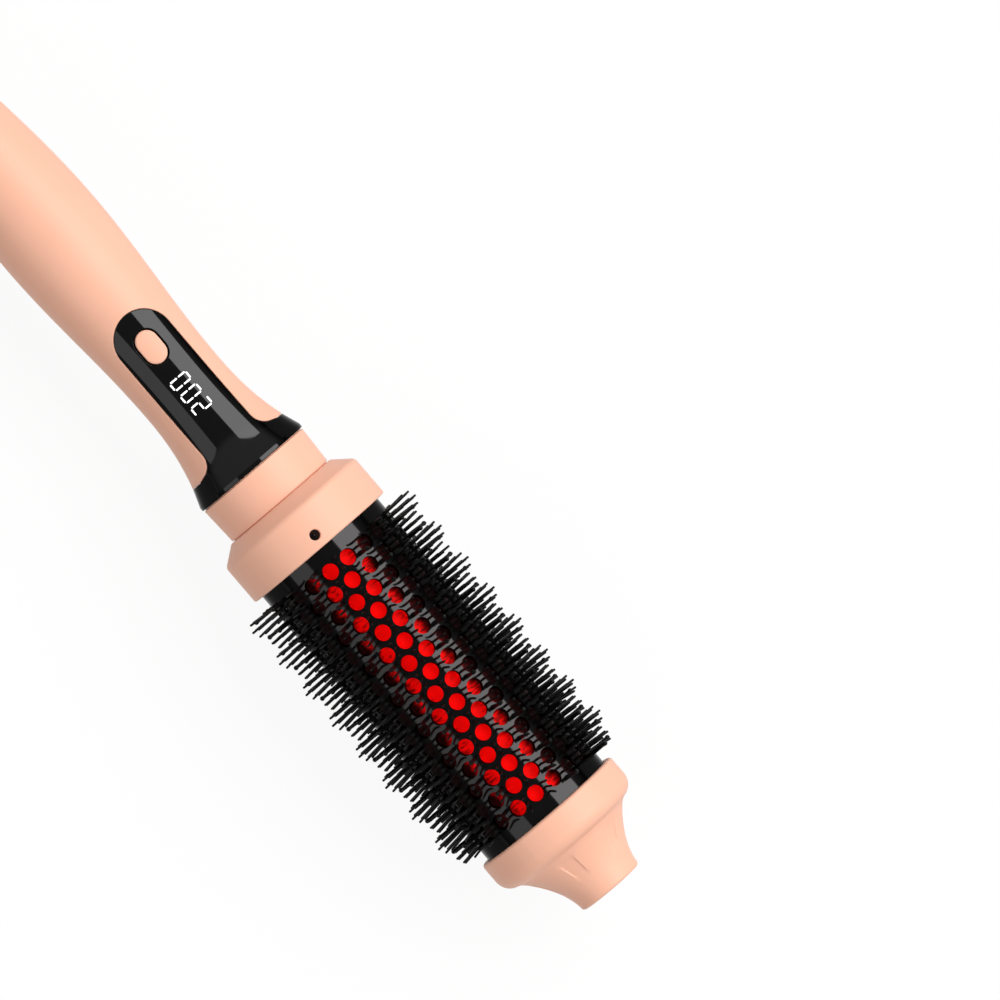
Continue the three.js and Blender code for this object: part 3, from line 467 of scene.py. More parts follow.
def weld(mesh, distance=1e-6):
    """Merges vertices that lie on each other and keeps the corner normals."""
    points = np.empty(len(mesh.vertices) * 3)
    mesh.vertices.foreach_get("co", points)
    points = points.reshape(-1, 3)
    keys = {}
    target = [keys.setdefault(tuple(row), index)
              for index, row in enumerate(np.round(points / distance).astype(int))]
    if all(k == v for k, v in enumerate(target)):
        return
    normals = [tuple(loop.vector) for loop in mesh.corner_normals]
    faces = [[target[v] for v in face.vertices] for face in mesh.polygons]
    used = sorted({v for face in faces for v in face})
    new_index = {v: k for k, v in enumerate(used)}
    mesh.clear_geometry()
    mesh.from_pydata([points[v] for v in used], [], [[new_index[v] for v in face] for face in faces])
    shade(mesh, normals)


def join(name, *things):
    """One object made of several, with their corner normals kept."""
    verts = []
    faces = []
    normals = []
    for thing in things:
        mesh = thing.data
        start = len(verts)
        verts += [tuple(v.co) for v in mesh.vertices]
        faces += [[start + v for v in face.vertices] for face in mesh.polygons]
        normals += [tuple(n.vector) for n in mesh.corner_normals]
        bpy.data.objects.remove(thing)
    return new_mesh(name, verts, faces, normals)


# Plates cut out of a surface that is round about the axis


def offset_loop(loop, distance, scale):
    """A loop of (station, angle) moved towards the material on its left, and the directions away from it."""
    flat = [Vector((station, turn * scale)) for station, turn in loop]
    moved = []
    away = []
    for k, here in enumerate(flat):
        before = (here - flat[k - 1]).normalized()
        after = (flat[(k + 1) % len(flat)] - here).normalized()
        first = Vector((before.y, -before.x))
        second = Vector((after.y, -after.x))
        mitre = (first + second) / max(1 + first.dot(second), 0.5)
        point = here - mitre * distance
        moved.append((point.x, point.y / scale))
        away.append(mitre.normalized())
    return moved, away


def inside(loops, station, turn):
    """Whether a point lies within the first loop and outside the others."""
    crossings = 0
    for loop in loops:
        for k, (x2, y2) in enumerate(loop):
            x1, y1 = loop[k - 1]
            if (y1 > turn) != (y2 > turn) and station < (x2 - x1) * (turn - y1) / (y2 - y1) + x1:
                crossings += 1
    return crossings % 2 == 1


def plate(name, surface, loops, spacing, rounding, wall, scale, steps=3):
    """A plate that follows a round surface, cut to loops of (station, angle), with rounded edges and a wall.

    The surface gives a radius for a station. The first loop is the outside, the others are openings."""
    loops = [loop if (signed_area(loop) > 0) == (index == 0) else loop[::-1]
             for index, loop in enumerate(loops)]
    rings = []
    for phase in (math.pi / 2 * step / steps for step in range(steps + 1)):
        back, drop = rounding * (1 - math.sin(phase)), rounding * (1 - math.cos(phase))
        rings.append((phase, drop, [offset_loop(loop, back, scale) for loop in loops]))
    top_loops = [moved for moved, _ in rings[0][2]]

    def normal_at(station, turn):
        tilt = (surface(station + 1e-5) - surface(station - 1e-5)) / 2e-5
        return Vector((-tilt, math.sin(turn), math.cos(turn))).normalized()

    # Flat points of the top, then its triangles
    flat = [Vector((s, t * scale)) for loop in top_loops for s, t in loop]
    edges = []
    start = 0
    for loop in top_loops:
        edges += [(start + k, start + (k + 1) % len(loop)) for k in range(len(loop))]
        start += len(loop)
    border = np.array(flat)
    low, high = border.min(0), border.max(0)
    columns, rows = (max(1, round((high[k] - low[k]) / spacing)) for k in (0, 1))
    for column in range(1, columns):
        for row in range(1, rows):
            point = Vector((low[0] + (high[0] - low[0]) * column / columns,
                            low[1] + (high[1] - low[1]) * row / rows))
            clear = np.min(np.hypot(border[:, 0] - point.x, border[:, 1] - point.y)) > spacing * 0.45
            if clear and inside(top_loops, point.x, point.y / scale):
                flat.append(point)
    points, _, triangles, _, _, _ = delaunay_2d_cdt(flat, edges, [], 0, 1e-9)
    if len(points) != len(flat):
        raise RuntimeError(f"{name}: the outline crosses itself")
    top = []
    for triangle in triangles:
        a, b, c = (points[v] for v in triangle)
        centre = (a + b + c) / 3
        bend = (b - a).cross(c - a)
        if inside(top_loops, centre.x, centre.y / scale) and abs(bend) > 1e-10:
            top.append(tuple(triangle) if bend > 0 else tuple(triangle[::-1]))

    verts = []
    vert_normals = []

    def vertex(station, turn, depth, normal=Vector((0, 0, 0))):
        verts.append(place(station, turn, surface(station) - depth))
        vert_normals.append(normal)

    for point in flat:
        vertex(point.x, point.y / scale, 0, normal_at(point.x, point.y / scale))
    levels = [0]
    for phase, drop, moved in rings[1:]:
        levels.append(len(verts))
        for loop, away in moved:
            for (station, turn), direction in zip(loop, away):
                upright = normal_at(station, turn)
                outward = Vector((direction.x, direction.y * math.cos(turn), -direction.y * math.sin(turn)))
                outward = (outward - upright * outward.dot(upright)).normalized()
                vertex(station, turn, drop, upright * math.cos(phase) + outward * math.sin(phase))
    for ring in ([loop for loop, _ in rings[-1][2]], top_loops):
        levels.append(len(verts))
        for station, turn in (point for loop in ring for point in loop):
            vertex(station, turn, wall)
    under = levels[-1]
    for point in flat[len(border):]:
        vertex(point.x, point.y / scale, wall)

    # Corner normals are given on the top and its rounding, and left to the shading elsewhere.
    faces = []
    normals = []

    def face(corners, own):
        faces.append(corners)
        normals.extend(tuple(vert_normals[v]) if own else (0, 0, 0) for v in corners)

    for a, b, c in top:
        face((a, b, c), True)
        face((under + a, under + c, under + b), False)
    for here, there in edges:
        for level, (upper, lower) in enumerate(zip(levels, levels[1:])):
            face((upper + here, lower + here, lower + there, upper + there), level < steps)
    return new_mesh(name, verts, faces, normals, 50 * DEGREE)


def arc(centre, radius, start, end, steps):
    """Points of an arc in the plane of station and side."""
    turns = [start + (end - start) * k / steps for k in range(steps + 1)]
    return [(centre[0] + radius * math.cos(turn), centre[1] + radius * math.sin(turn)) for turn in turns]


def spaced(start, end, spacing):
    """Points on a straight line, its two ends left out."""
    first, last = Vector(start), Vector(end)
    parts = max(1, round((last - first).length / spacing))
    return [tuple(first.lerp(last, k / parts)) for k in range(1, parts)]


def through(*corners):
    """Points along lines from corner to corner, the last left out.

    A corner is (station, angle, spacing of the points on the way to the next)."""
    points = []
    for (*here, spacing), following in zip(corners, corners[1:]):
        points += [tuple(here)] + spaced(here, following[:2], spacing)
    return points


def stadium(station, long, wide, steps=12):
    """A round-ended slot in the plane of station and side."""
    half = (long - wide) / 2
    quarter = math.pi / 2
    first = arc((station + half, 0), wide / 2, -quarter, quarter, steps)
    second = arc((station - half, 0), wide / 2, quarter, 3 * quarter, steps)
    return first + spaced(first[-1], second[0], 1 * MM) + second + spaced(second[-1], first[0], 1 * MM)


def wrapped(loop, surface):
    """A loop of (station, side) as one of (station, angle) on a round surface."""
    return [(station, math.asin(side / surface(station))) for station, side in loop]


def ease(share):
    """A share from 0 to 1 that sets off and arrives gently."""
    return (1 - math.cos(math.pi * share)) / 2


def handle_radius(station):
    """The handle's radius at a station."""
    sizes = bpy.context.scene.brush_handle
    if station < sizes.belly_station:
        share = ease(max(station, 0) / sizes.belly_station)
        return sizes.end_radius + (sizes.belly_radius - sizes.end_radius) * share
    if station < sizes.waist_station:
        share = ease((station - sizes.belly_station) / (sizes.waist_station - sizes.belly_station))
        return sizes.belly_radius + (sizes.waist_radius - sizes.belly_radius) * share
    share = (station - sizes.waist_station) / (sizes.shoulder_station - sizes.waist_station)
    return sizes.waist_radius + (sizes.shoulder_radius - sizes.waist_radius) * share ** sizes.shoulder_power


def tongue_side(grow, end):
    """The -Y half of the tongue's outline, from its round end to its flare."""
    panel = bpy.context.scene.brush_panel
    start = span("control_panel")[0] + panel.tongue_start
    shoulder = bpy.context.scene.brush_handle.shoulder_station
    half = panel.tongue_width / 2
    flare_centre = (shoulder - panel.flare_radius, -half - panel.flare_radius)
    round_end = arc((start + half, 0), half + grow, math.pi, 1.5 * math.pi, 20)
    flare = arc(flare_centre, panel.flare_radius - grow, math.pi / 2, end, 12)
    return round_end + spaced(round_end[-1], flare[0], 1 * MM) + flare


# Nodes


MATH = "ShaderNodeMath"
RANGE = "ShaderNodeMapRange"
COMBINE = "ShaderNodeCombineXYZ"


def add(tree, kind, inputs=None, **settings):
    """Adds a node with its settings, its inputs set, or linked to a socket or a node's first output."""
    node = tree.nodes.new(kind)
    for key, value in settings.items():
        setattr(node, key, value)
    for key, value in (inputs or {}).items():
        if isinstance(value, bpy.types.Node):
            value = value.outputs[0]
        if isinstance(value, bpy.types.NodeSocket):
            tree.links.new(value, node.inputs[key])
        else:
            node.inputs[key].default_value = value
    return node


# Finishes


def paint_heater_shade_and_glow(tree, where, shader):
    """Bright red near the display's line and on the face opposite, darker red towards the flanks: painted
    shade.

    A painted glow, red near that line and dark on the flanks, is laid on as emission, and fine streaks and
    folds run along it, deeper away from the middle line."""
    colours = bpy.context.scene.brush_colours
    across = add(tree, "ShaderNodeSeparateXYZ", {"Vector": where}).outputs["Y"]
    shifted = add(tree, MATH, {0: across, 1: 0.5 * MM}, operation="ADD")
    side = add(tree, MATH, {0: shifted}, operation="ABSOLUTE")
    longer = add(tree, "ShaderNodeMapping", {"Vector": where, "Scale": (1.0, 0.35, 0.35)})
    streaks = add(tree, "ShaderNodeTexNoise", {"Vector": longer, "Scale": 1 / (1.6 * MM), "Detail": 2.0})
    wander = add(tree, RANGE, {
        "Value": streaks, "From Min": 0.3, "From Max": 0.7, "To Min": -0.7 * MM, "To Max": 0.7 * MM})
    wandered = add(tree, MATH, {0: side, 1: wander}, operation="ADD")
    # Painted shade: the red gives way to a darker red towards the flanks, along an edge that wanders with
    # the streaks
    painted_shade_fade = add(tree, RANGE, {
        "Value": wandered, "From Min": 4.8 * MM, "From Max": 8.0 * MM}, interpolation_type="SMOOTHSTEP")
    longer = add(tree, "ShaderNodeMapping", {"Vector": where, "Scale": (1.0, 0.3, 0.3)})
    folds = add(tree, "ShaderNodeTexNoise", {"Vector": longer, "Scale": 1 / (0.55 * MM), "Detail": 1.0})
    dimmed = add(tree, RANGE, {
        "Value": folds, "From Min": 0.38, "From Max": 0.58, "To Min": 0.3, "To Max": 1.0})
    reached = add(tree, RANGE, {"Value": side, "From Min": 1.0 * MM, "From Max": 5.0 * MM})
    level = add(tree, "ShaderNodeMix", {0: reached, 2: 1.0, 3: dimmed}, data_type="FLOAT")
    # Painted shade deepens further on the far flanks
    flank_painted_shade = add(tree, RANGE, {
        "Value": side, "From Min": 9.0 * MM, "From Max": 12.5 * MM, "To Min": 1.0, "To Max": 0.3})
    share = add(tree, MATH, {0: level, 1: flank_painted_shade}, operation="MULTIPLY")
    # For each socket: the red tone near the display's line, then the darker painted shade tone (thin) of the
    # flanks; the emission pair is a painted glow
    for socket, lit_tone, thin in (("Base Color", colours.red, colours.painted_shade_maroon),
                                ("Emission Color", colours.glow, colours.glow_shade)):
        tint = add(tree, "ShaderNodeMix", {0: painted_shade_fade, 6: tuple(lit_tone), 7: tuple(thin)}, data_type="RGBA")
        streaked = add(tree, "ShaderNodeVectorMath", {0: tint.outputs[2], "Scale": share},
                       operation="SCALE")
        tree.links.new(streaked.outputs[0], shader.inputs[socket])


# Each finish has its material's name, a colour, a roughness and a metallic share. Grain is (size, depth,
# stretch along the brush) and mottle (size, amount), with sizes and depth in millimetres. Flat gloss is
# what is left of the gloss of a mottled mirror at a flat angle, more is a function that adds nodes, and
# sockets are constants on the shader. The keys are the record's slots, and two for pieces with a finish
# of their own.
FINISHES = {
    # Moulded ABS under a soft-touch paint: a satin skin with a very fine grain and wide, soft highlights
    "peach_plastic": dict(name="soft_touch_painted_abs", base="peach", roughness=0.46,
                          grain=(0.22, 0.004, 1.0), mottle=(14, 0.025),
                          sockets={"Specular IOR Level": 0.35}),
    # Smoked PMMA with a thin metallised layer, the dead front that hides a display while it is off: near
    # black and mirror smooth, so the lamps show in it with soft edges, and dark at a flat angle
    "gloss_black": dict(name="metallised_smoked_pmma", base="panel", roughness=0.06, metallic=0.9,
                        mottle=(9, 0.01), flat_gloss=0.08, sockets={"Specular Tint": (0.5, 0.5, 0.5, 1.0)}),
    # Aluminium under a thin black ceramic coat: it mirrors darkly, as the metal below still counts, and
    # even at a flat angle it stays dark. A trace of orange peel runs over it.
    "coated_barrel": dict(name="ceramic_coated_aluminium", base="coating", roughness=0.08, metallic=0.9,
                          grain=(1.6, 0.0006, 1.0), mottle=(6, 0.015), flat_gloss=0.08,
                          sockets={"Specular Tint": (0.5, 0.5, 0.5, 1.0)}),
    # Extruded nylon filament: black, satin, with a very fine grain
    "bristles": dict(name="extruded_nylon_filament", base="nylon", roughness=0.45,
                     grain=(0.12, 0.004, 1.0), sockets={"Specular IOR Level": 0.2}),
    # Cast silicone over the heater: a dull red skin. The function under more lays on its reds: painted shade
    # towards the flanks, and a painted red glow as emission, though the heater is no lamp
    "red_silicone": dict(name="cast_red_silicone", base="red", roughness=0.6, more=paint_heater_shade_and_glow,
                         sockets={"Specular IOR Level": 0.1, "Emission Strength": 0.6}),
    # Light-emitting diodes behind a diffuser: plain white light
    "lit_segments": dict(name="white_led_segment", base="lit", roughness=0.4,
                         sockets={"Emission Color": linear("#FFFFFF"), "Emission Strength": 0.9}),
    # Moulded glass-filled nylon: black with a fine spark-eroded grain
    "black_plastic": dict(name="moulded_black_nylon", base="black", roughness=0.5, grain=(0.35, 0.01, 1.0),
                          mottle=(5, 0.04)),
    # Moulded white ABS: slightly warm, with an even satin
    "white_plastic": dict(name="moulded_white_abs", base="white", roughness=0.45, grain=(0.3, 0.006, 1.0),
                          mottle=(5, 0.03)),
    # FR4 board under a green solder mask: glossy, with a cloth-like weave just showing
    "circuit_board": dict(name="solder_masked_fr4", base="board", roughness=0.3, grain=(0.5, 0.008, 1.0),
                          mottle=(2, 0.06)),
    # Mill-finish aluminium: die lines run along the extrusion
    "aluminium": dict(name="extruded_aluminium", base="aluminium", roughness=0.35, metallic=1.0,
                      grain=(0.25, 0.006, 30.0), mottle=(4, 0.05)),
    # Zinc-plated steel: cool, bright, faintly clouded
    "steel": dict(name="zinc_plated_steel", base="steel", roughness=0.28, metallic=1.0, mottle=(1.5, 0.06)),
    # Rolled brass: warm, bright, with fine rolling lines
    "brass": dict(name="rolled_brass", base="brass", roughness=0.25, metallic=1.0,
                  grain=(0.15, 0.003, 12.0), mottle=(2, 0.05)),
    # Sintered ceramic: matte and dark grey, with visible grit
    "ceramic": dict(name="sintered_ceramic", base="ceramic", roughness=0.75, grain=(0.3, 0.02, 1.0),
                    mottle=(1.2, 0.08)),
    # Pressed mica sheet: amber flakes with a soft shine
    "mica": dict(name="pressed_mica", base="mica", roughness=0.4, grain=(0.8, 0.01, 1.0),
                 mottle=(1.5, 0.12)),
}


def material_of(key):
    """The material of a slot or piece, made when it is first asked for."""
    return bpy.data.materials.get(FINISHES[key]["name"]) or new_material(**FINISHES[key])


def new_material(name, base, roughness, metallic=0.0, grain=None, mottle=None, flat_gloss=None, more=None,
                 sockets=None):
    """A Principled material from the values of one finish."""
    tone = tuple(getattr(bpy.context.scene.brush_colours, base))
    material = bpy.data.materials.new(name)
    material.use_nodes = True
    material.diffuse_color = tone
    tree = material.node_tree
    tree.nodes.clear()
    where = add(tree, "ShaderNodeTexCoord").outputs["Object"]
    shader = add(tree, "ShaderNodeBsdfPrincipled", {
        "Base Color": tone, "Roughness": roughness, "Metallic": metallic, **(sockets or {})})
    if mottle:
        size, amount = mottle
        spots = add(tree, "ShaderNodeTexNoise", {"Vector": where, "Scale": 1 / (size * MM), "Detail": 3.0})
        rough = add(tree, RANGE, {
            "Value": spots, "To Min": roughness - amount, "To Max": roughness + amount})
        tree.links.new(rough.outputs["Result"], shader.inputs["Roughness"])
        dark, light = ([min(1.0, c * part) for c in tone[:3]] + [1.0] for part in (1 - amount, 1 + amount))
        tint = add(tree, "ShaderNodeMix", {0: spots, 6: dark, 7: light}, data_type="RGBA").outputs[2]
        if flat_gloss:
            facing = add(tree, "ShaderNodeLayerWeight", {"Blend": 0.5}).outputs["Facing"]
            left = add(tree, RANGE, {
                "Value": facing, "From Min": 0.17, "From Max": 0.29, "To Min": 1.0, "To Max": flat_gloss},
                interpolation_type="SMOOTHSTEP")
            tint = add(tree, "ShaderNodeVectorMath", {0: tint, "Scale": left}, operation="SCALE").outputs[0]
        tree.links.new(tint, shader.inputs["Base Color"])
    if grain:
        size, depth, stretch = grain
        longer = add(tree, "ShaderNodeMapping", {"Vector": where, "Scale": (1 / stretch, 1.0, 1.0)})
        relief = add(tree, "ShaderNodeTexNoise", {"Vector": longer, "Scale": 1 / (size * MM), "Detail": 2.0})
        bump = add(tree, "ShaderNodeBump", {"Height": relief, "Distance": depth * MM, "Strength": 1.0})
        tree.links.new(bump.outputs["Normal"], shader.inputs["Normal"])
    if more:
        more(tree, where, shader)
    add(tree, "ShaderNodeOutputMaterial", {"Surface": shader}).is_active_output = True
    return material


# Node trees for what repeats


LATTICE_INPUTS = {
    "Columns": 16, "Around": 20, "Pitch": 5.0 * MM, "First station": 0.0, "Radius": 19.0 * MM,
    "Axis height": 0.0}


def new_tree(name, **inputs):
    """A geometry tree with a geometry socket at each end, and its named inputs, whole numbers or others."""
    tree = bpy.data.node_groups.new(name, "GeometryNodeTree")
    tree.interface.new_socket("Geometry", in_out="INPUT", socket_type="NodeSocketGeometry")
    tree.interface.new_socket("Geometry", in_out="OUTPUT", socket_type="NodeSocketGeometry")
    for title, default in inputs.items():
        kind = "NodeSocketInt" if isinstance(default, int) else "NodeSocketFloat"
        socket = tree.interface.new_socket(title, in_out="INPUT", socket_type=kind)
        socket.default_value = default
    return tree, add(tree, "NodeGroupInput").outputs


def grown(thing, tree, geometry, material, **values):
    """Ends a tree in Realize Instances and Set Material, and makes its result the object's plain mesh."""
    real = add(tree, "GeometryNodeRealizeInstances", {"Geometry": geometry})
    painted = add(tree, "GeometryNodeSetMaterial", {"Geometry": real, "Material": material_of(material)})
    add(tree, "NodeGroupOutput", {"Geometry": painted})
    modifier = thing.modifiers.new(tree.name, "NODES")
    modifier.node_group = tree
    for item in tree.interface.items_tree:
        if item.in_out == "INPUT" and item.name in values:
            modifier[item.identifier] = values[item.name]
    applied(thing, modifier)


def at_sites(tree, source, total, spot, **inputs):
    """The tree's incoming geometry at each of a number of places."""
    sites = add(tree, "GeometryNodePoints", {"Count": total, "Position": spot})
    return add(tree, "GeometryNodeInstanceOnPoints", {
        "Points": sites, "Instance": source["Geometry"], **inputs})


def row_of(tree, index, per_row):
    """The number of the row that an index falls in, and its place in that row."""
    inner = add(tree, MATH, {0: index, 1: 0.25}, operation="ADD")
    rows = add(tree, MATH, {0: inner, 1: per_row}, operation="DIVIDE")
    row = add(tree, MATH, {0: rows}, operation="FLOOR")
    passed = add(tree, MATH, {0: row, 1: per_row}, operation="MULTIPLY")
    return row, add(tree, MATH, {0: index, 1: passed}, operation="SUBTRACT")


def lattice_site(tree, source, shift):
    """The column, the angle and the count of the sites, with every other ring turned by half a step."""
    column, in_ring = row_of(tree, add(tree, "GeometryNodeInputIndex"), source["Around"])
    shifted = add(tree, MATH, {0: column, 1: shift}, operation="ADD")
    odd = add(tree, MATH, {0: shifted, 1: 2.0}, operation="MODULO")
    steps = add(tree, MATH, {0: odd, 1: 0.5, 2: in_ring}, operation="MULTIPLY_ADD")
    step = add(tree, MATH, {0: TURN, 1: source["Around"]}, operation="DIVIDE")
    turn = add(tree, MATH, {0: steps, 1: step}, operation="MULTIPLY")
    total = add(tree, MATH, {0: source["Columns"], 1: source["Around"]}, operation="MULTIPLY")
    return column, turn, total


def column_station(tree, source, column):
    """The station of a column."""
    return add(tree, MATH, {0: column, 1: source["Pitch"], 2: source["First station"]},
               operation="MULTIPLY_ADD")


def on_barrel(tree, source, station, turn, radius):
    """A position on the barrel from its station, angle and radius."""
    sine, cosine = (add(tree, MATH, {0: turn}, operation=kind) for kind in ("SINE", "COSINE"))
    across = add(tree, MATH, {0: radius, 1: sine}, operation="MULTIPLY")
    upward = add(tree, MATH, {0: radius, 1: cosine, 2: source["Axis height"]}, operation="MULTIPLY_ADD")
    return add(tree, COMBINE, {"X": station, "Y": across, "Z": upward})


def outward(tree, turn):
    """The rotation that stands a piece upright on the barrel at an angle."""
    back = add(tree, MATH, {0: turn, 1: -1.0}, operation="MULTIPLY")
    return add(tree, COMBINE, {"X": back})


def perforations():
    """One flat tile per hole, wrapped into a tube and welded."""
    tree, source = new_tree("perforations", **LATTICE_INPUTS)
    column, turn, total = lattice_site(tree, source, 1.0)
    across = add(tree, MATH, {0: turn, 1: source["Radius"]}, operation="MULTIPLY")
    site = add(tree, COMBINE, {"X": column_station(tree, source, column), "Y": across})
    sheet = add(tree, "GeometryNodeRealizeInstances", {"Geometry": at_sites(tree, source, total, site)})
    flat = add(tree, "ShaderNodeSeparateXYZ", {"Vector": add(tree, "GeometryNodeInputPosition")}).outputs
    wound = add(tree, MATH, {0: flat["Y"], 1: source["Radius"]}, operation="DIVIDE")
    radius = add(tree, MATH, {0: flat["Z"], 1: source["Radius"]}, operation="ADD")
    tube = add(tree, "GeometryNodeSetPosition", {
        "Geometry": sheet, "Position": on_barrel(tree, source, flat["X"], wound, radius)})
    return tree, add(tree, "GeometryNodeMergeByDistance", {"Geometry": tube, "Distance": WELD})


def bristle_tufts():
    """One tuft per lattice site, upright on the barrel, with a seeded lean and two heights in turn."""
    tree, source = new_tree("bristle_tufts", **LATTICE_INPUTS, **{
        "Short share": 0.8, "Lean": 0.04, "Fan": 0.0, "Seed": 7})
    column, turn, total = lattice_site(tree, source, 0.0)
    spot = on_barrel(tree, source, column_station(tree, source, column), turn, source["Radius"])
    odd = add(tree, MATH, {0: column, 1: 2.0}, operation="MODULO")
    drop = add(tree, MATH, {0: 1.0, 1: source["Short share"]}, operation="SUBTRACT")
    lower = add(tree, MATH, {0: odd, 1: drop}, operation="MULTIPLY")
    height = add(tree, MATH, {0: 1.0, 1: lower}, operation="SUBTRACT")
    size = add(tree, COMBINE, {"X": 1.0, "Y": 1.0, "Z": height})
    tufts = at_sites(tree, source, total, spot, Rotation=outward(tree, turn), Scale=size)
    back = add(tree, MATH, {0: source["Lean"], 1: -1.0}, operation="MULTIPLY")
    least, most = (add(tree, COMBINE, {"X": lean, "Y": lean}) for lean in (back, source["Lean"]))
    lean = add(tree, "FunctionNodeRandomValue", {"Min": least, "Max": most, "Seed": source["Seed"]},
               data_type="FLOAT_VECTOR")
    fan = add(tree, MATH, {0: column, 1: source["Fan"]}, operation="MULTIPLY")
    whole = add(tree, "ShaderNodeVectorMath", {0: lean, 1: add(tree, COMBINE, {"Y": fan})}, operation="ADD")
    return tree, add(tree, "GeometryNodeRotateInstances", {
        "Instances": tufts, "Rotation": whole, "Local Space": True})


def ball_pins():
    """Ball-tipped pins beside every second tuft, the two sides of the brush mirroring each other."""
    tree, source = new_tree("ball_pins", **LATTICE_INPUTS, **{"Forward shift": 0.0, "Backward shift": 0.0})
    per_ring = add(tree, MATH, {0: source["Around"], 1: 2.0}, operation="DIVIDE")
    total = add(tree, MATH, {0: source["Columns"], 1: per_ring}, operation="MULTIPLY")
    column, in_ring = row_of(tree, add(tree, "GeometryNodeInputIndex"), per_ring)
    pair, other = row_of(tree, in_ring, 2.0)
    odd = add(tree, MATH, {0: column, 1: 2.0}, operation="MODULO")
    first = add(tree, MATH, {0: odd, 1: 0.5, 2: 1.0}, operation="MULTIPLY_ADD")
    steps = add(tree, MATH, {0: pair, 1: 2.0, 2: first}, operation="MULTIPLY_ADD")
    step = add(tree, MATH, {0: TURN, 1: source["Around"]}, operation="DIVIDE")
    away = add(tree, MATH, {0: steps, 1: step}, operation="MULTIPLY")
    side = add(tree, MATH, {0: other, 1: -2.0, 2: 1.0}, operation="MULTIPLY_ADD")
    turn = add(tree, MATH, {0: side, 1: away}, operation="MULTIPLY")
    both = add(tree, MATH, {0: source["Forward shift"], 1: source["Backward shift"]}, operation="ADD")
    back = add(tree, MATH, {0: other, 1: both}, operation="MULTIPLY")
    shift = add(tree, MATH, {0: source["Forward shift"], 1: back}, operation="SUBTRACT")
    station = add(tree, MATH, {0: column_station(tree, source, column), 1: shift}, operation="ADD")
    spot = on_barrel(tree, source, station, turn, source["Radius"])
    return tree, at_sites(tree, source, total, spot, Rotation=outward(tree, turn))


def handle_screws():
    """The same screw at two places along the handle."""
    tree, source = new_tree("handle_screws", First=0.0, Spacing=78 * MM, Height=0.0)
    index = add(tree, "GeometryNodeInputIndex")
    along = add(tree, MATH, {0: index, 1: source["Spacing"], 2: source["First"]}, operation="MULTIPLY_ADD")
    spot = add(tree, COMBINE, {"X": along, "Z": source["Height"]})
    return tree, at_sites(tree, source, 2, spot)


# Pieces


class BRUSH_OT_shells(bpy.types.Operator):
    """Build the two handle shells and the end ring"""

    bl_idname = "brush.shells"
    bl_label = "Handle shells"

    def execute(self, context):
        sizes = context.scene.brush_handle
        start = span("handle_upper_shell")[0]
        end = sizes.shoulder_station + 0.24 * MM
        seam = math.pi / 2 - sizes.parting_gap / 2 / HANDLE_SCALE
        side = wrapped(tongue_side(context.scene.brush_panel.tongue_gap, 0.2), handle_radius)
        notch = side[::-1] + [(station, -turn) for station, turn in side[1:]]
        upper = spaced((end, -seam), (end, notch[0][1]), 0.1)
        outline = [(end, -seam)] + upper + notch + [(end, -turn) for _, turn in reversed(upper)]
        outline += through((end, seam, 2 * MM), (start, seam, 0.15), (start, -seam, 2 * MM), (end, -seam))
        self.shell("upper", [outline], sizes)

        gap = sizes.parting_gap / HANDLE_SCALE
        low, high = seam + gap, TURN - seam - gap
        outline = through(
            (start, low, 2 * MM), (end, low, 0.15), (end, high, 2 * MM), (start, high, 0.15), (start, low))
        screws = [middle("handle_screw_rear"), middle("handle_screw_front")]
        wells = []
        for station in screws:
            ring = arc((station, 0), sizes.well_radius, 0, TURN * 27 / 28, 27)
            wells.append([(s, math.pi - math.asin(y / handle_radius(s))) for s, y in ring])
        self.shell("lower", [outline] + wells, sizes, *(self.well(station, sizes) for station in screws))

        neck = reach("cord_swivel") - 1 * MM + 0.25 * MM
        ring_end = span("handle_end_ring")[1]
        ring = lathe("handle_end_cap", rounded([
            (0, neck, 0.3 * MM), (0, sizes.end_radius - 0.05 * MM, 1.4 * MM),
            (ring_end, handle_radius(ring_end), 0.2 * MM), (ring_end, neck)], 6))
        dress(ring, "handle", "peach_plastic", "handle_end_ring")
        return {"FINISHED"}

    def shell(self, half, loops, sizes, *more):
        """One of the two shells, joined with what stands in it."""
        name = f"handle_shell_{half}"
        shell = plate(name, handle_radius, loops, 1.8 * MM, sizes.edge_rounding, sizes.shell_wall,
                      HANDLE_SCALE)
        if more:
            shell = join(name, shell, *more)
        dress(shell, "handle", "peach_plastic", f"handle_{half}_shell")

    def well(self, station, sizes):
        """The cup under a screw well: its wall, its floor with the screw's hole, and its boss."""
        inner, outer = sizes.well_radius, sizes.well_radius + 1.2 * MM
        floor, hole, boss_top = -sizes.well_floor, 1.5 * MM, -0.15 * MM
        skin = -(handle_radius(station) - sizes.shell_wall / 2)
        outline = [(inner, skin), (inner, floor), (hole, floor), (hole, boss_top), (outer, boss_top),
                   (outer, skin)]
        return spun("well", outline, (CORD_END + station, 0, AXIS_HEIGHT), 40)


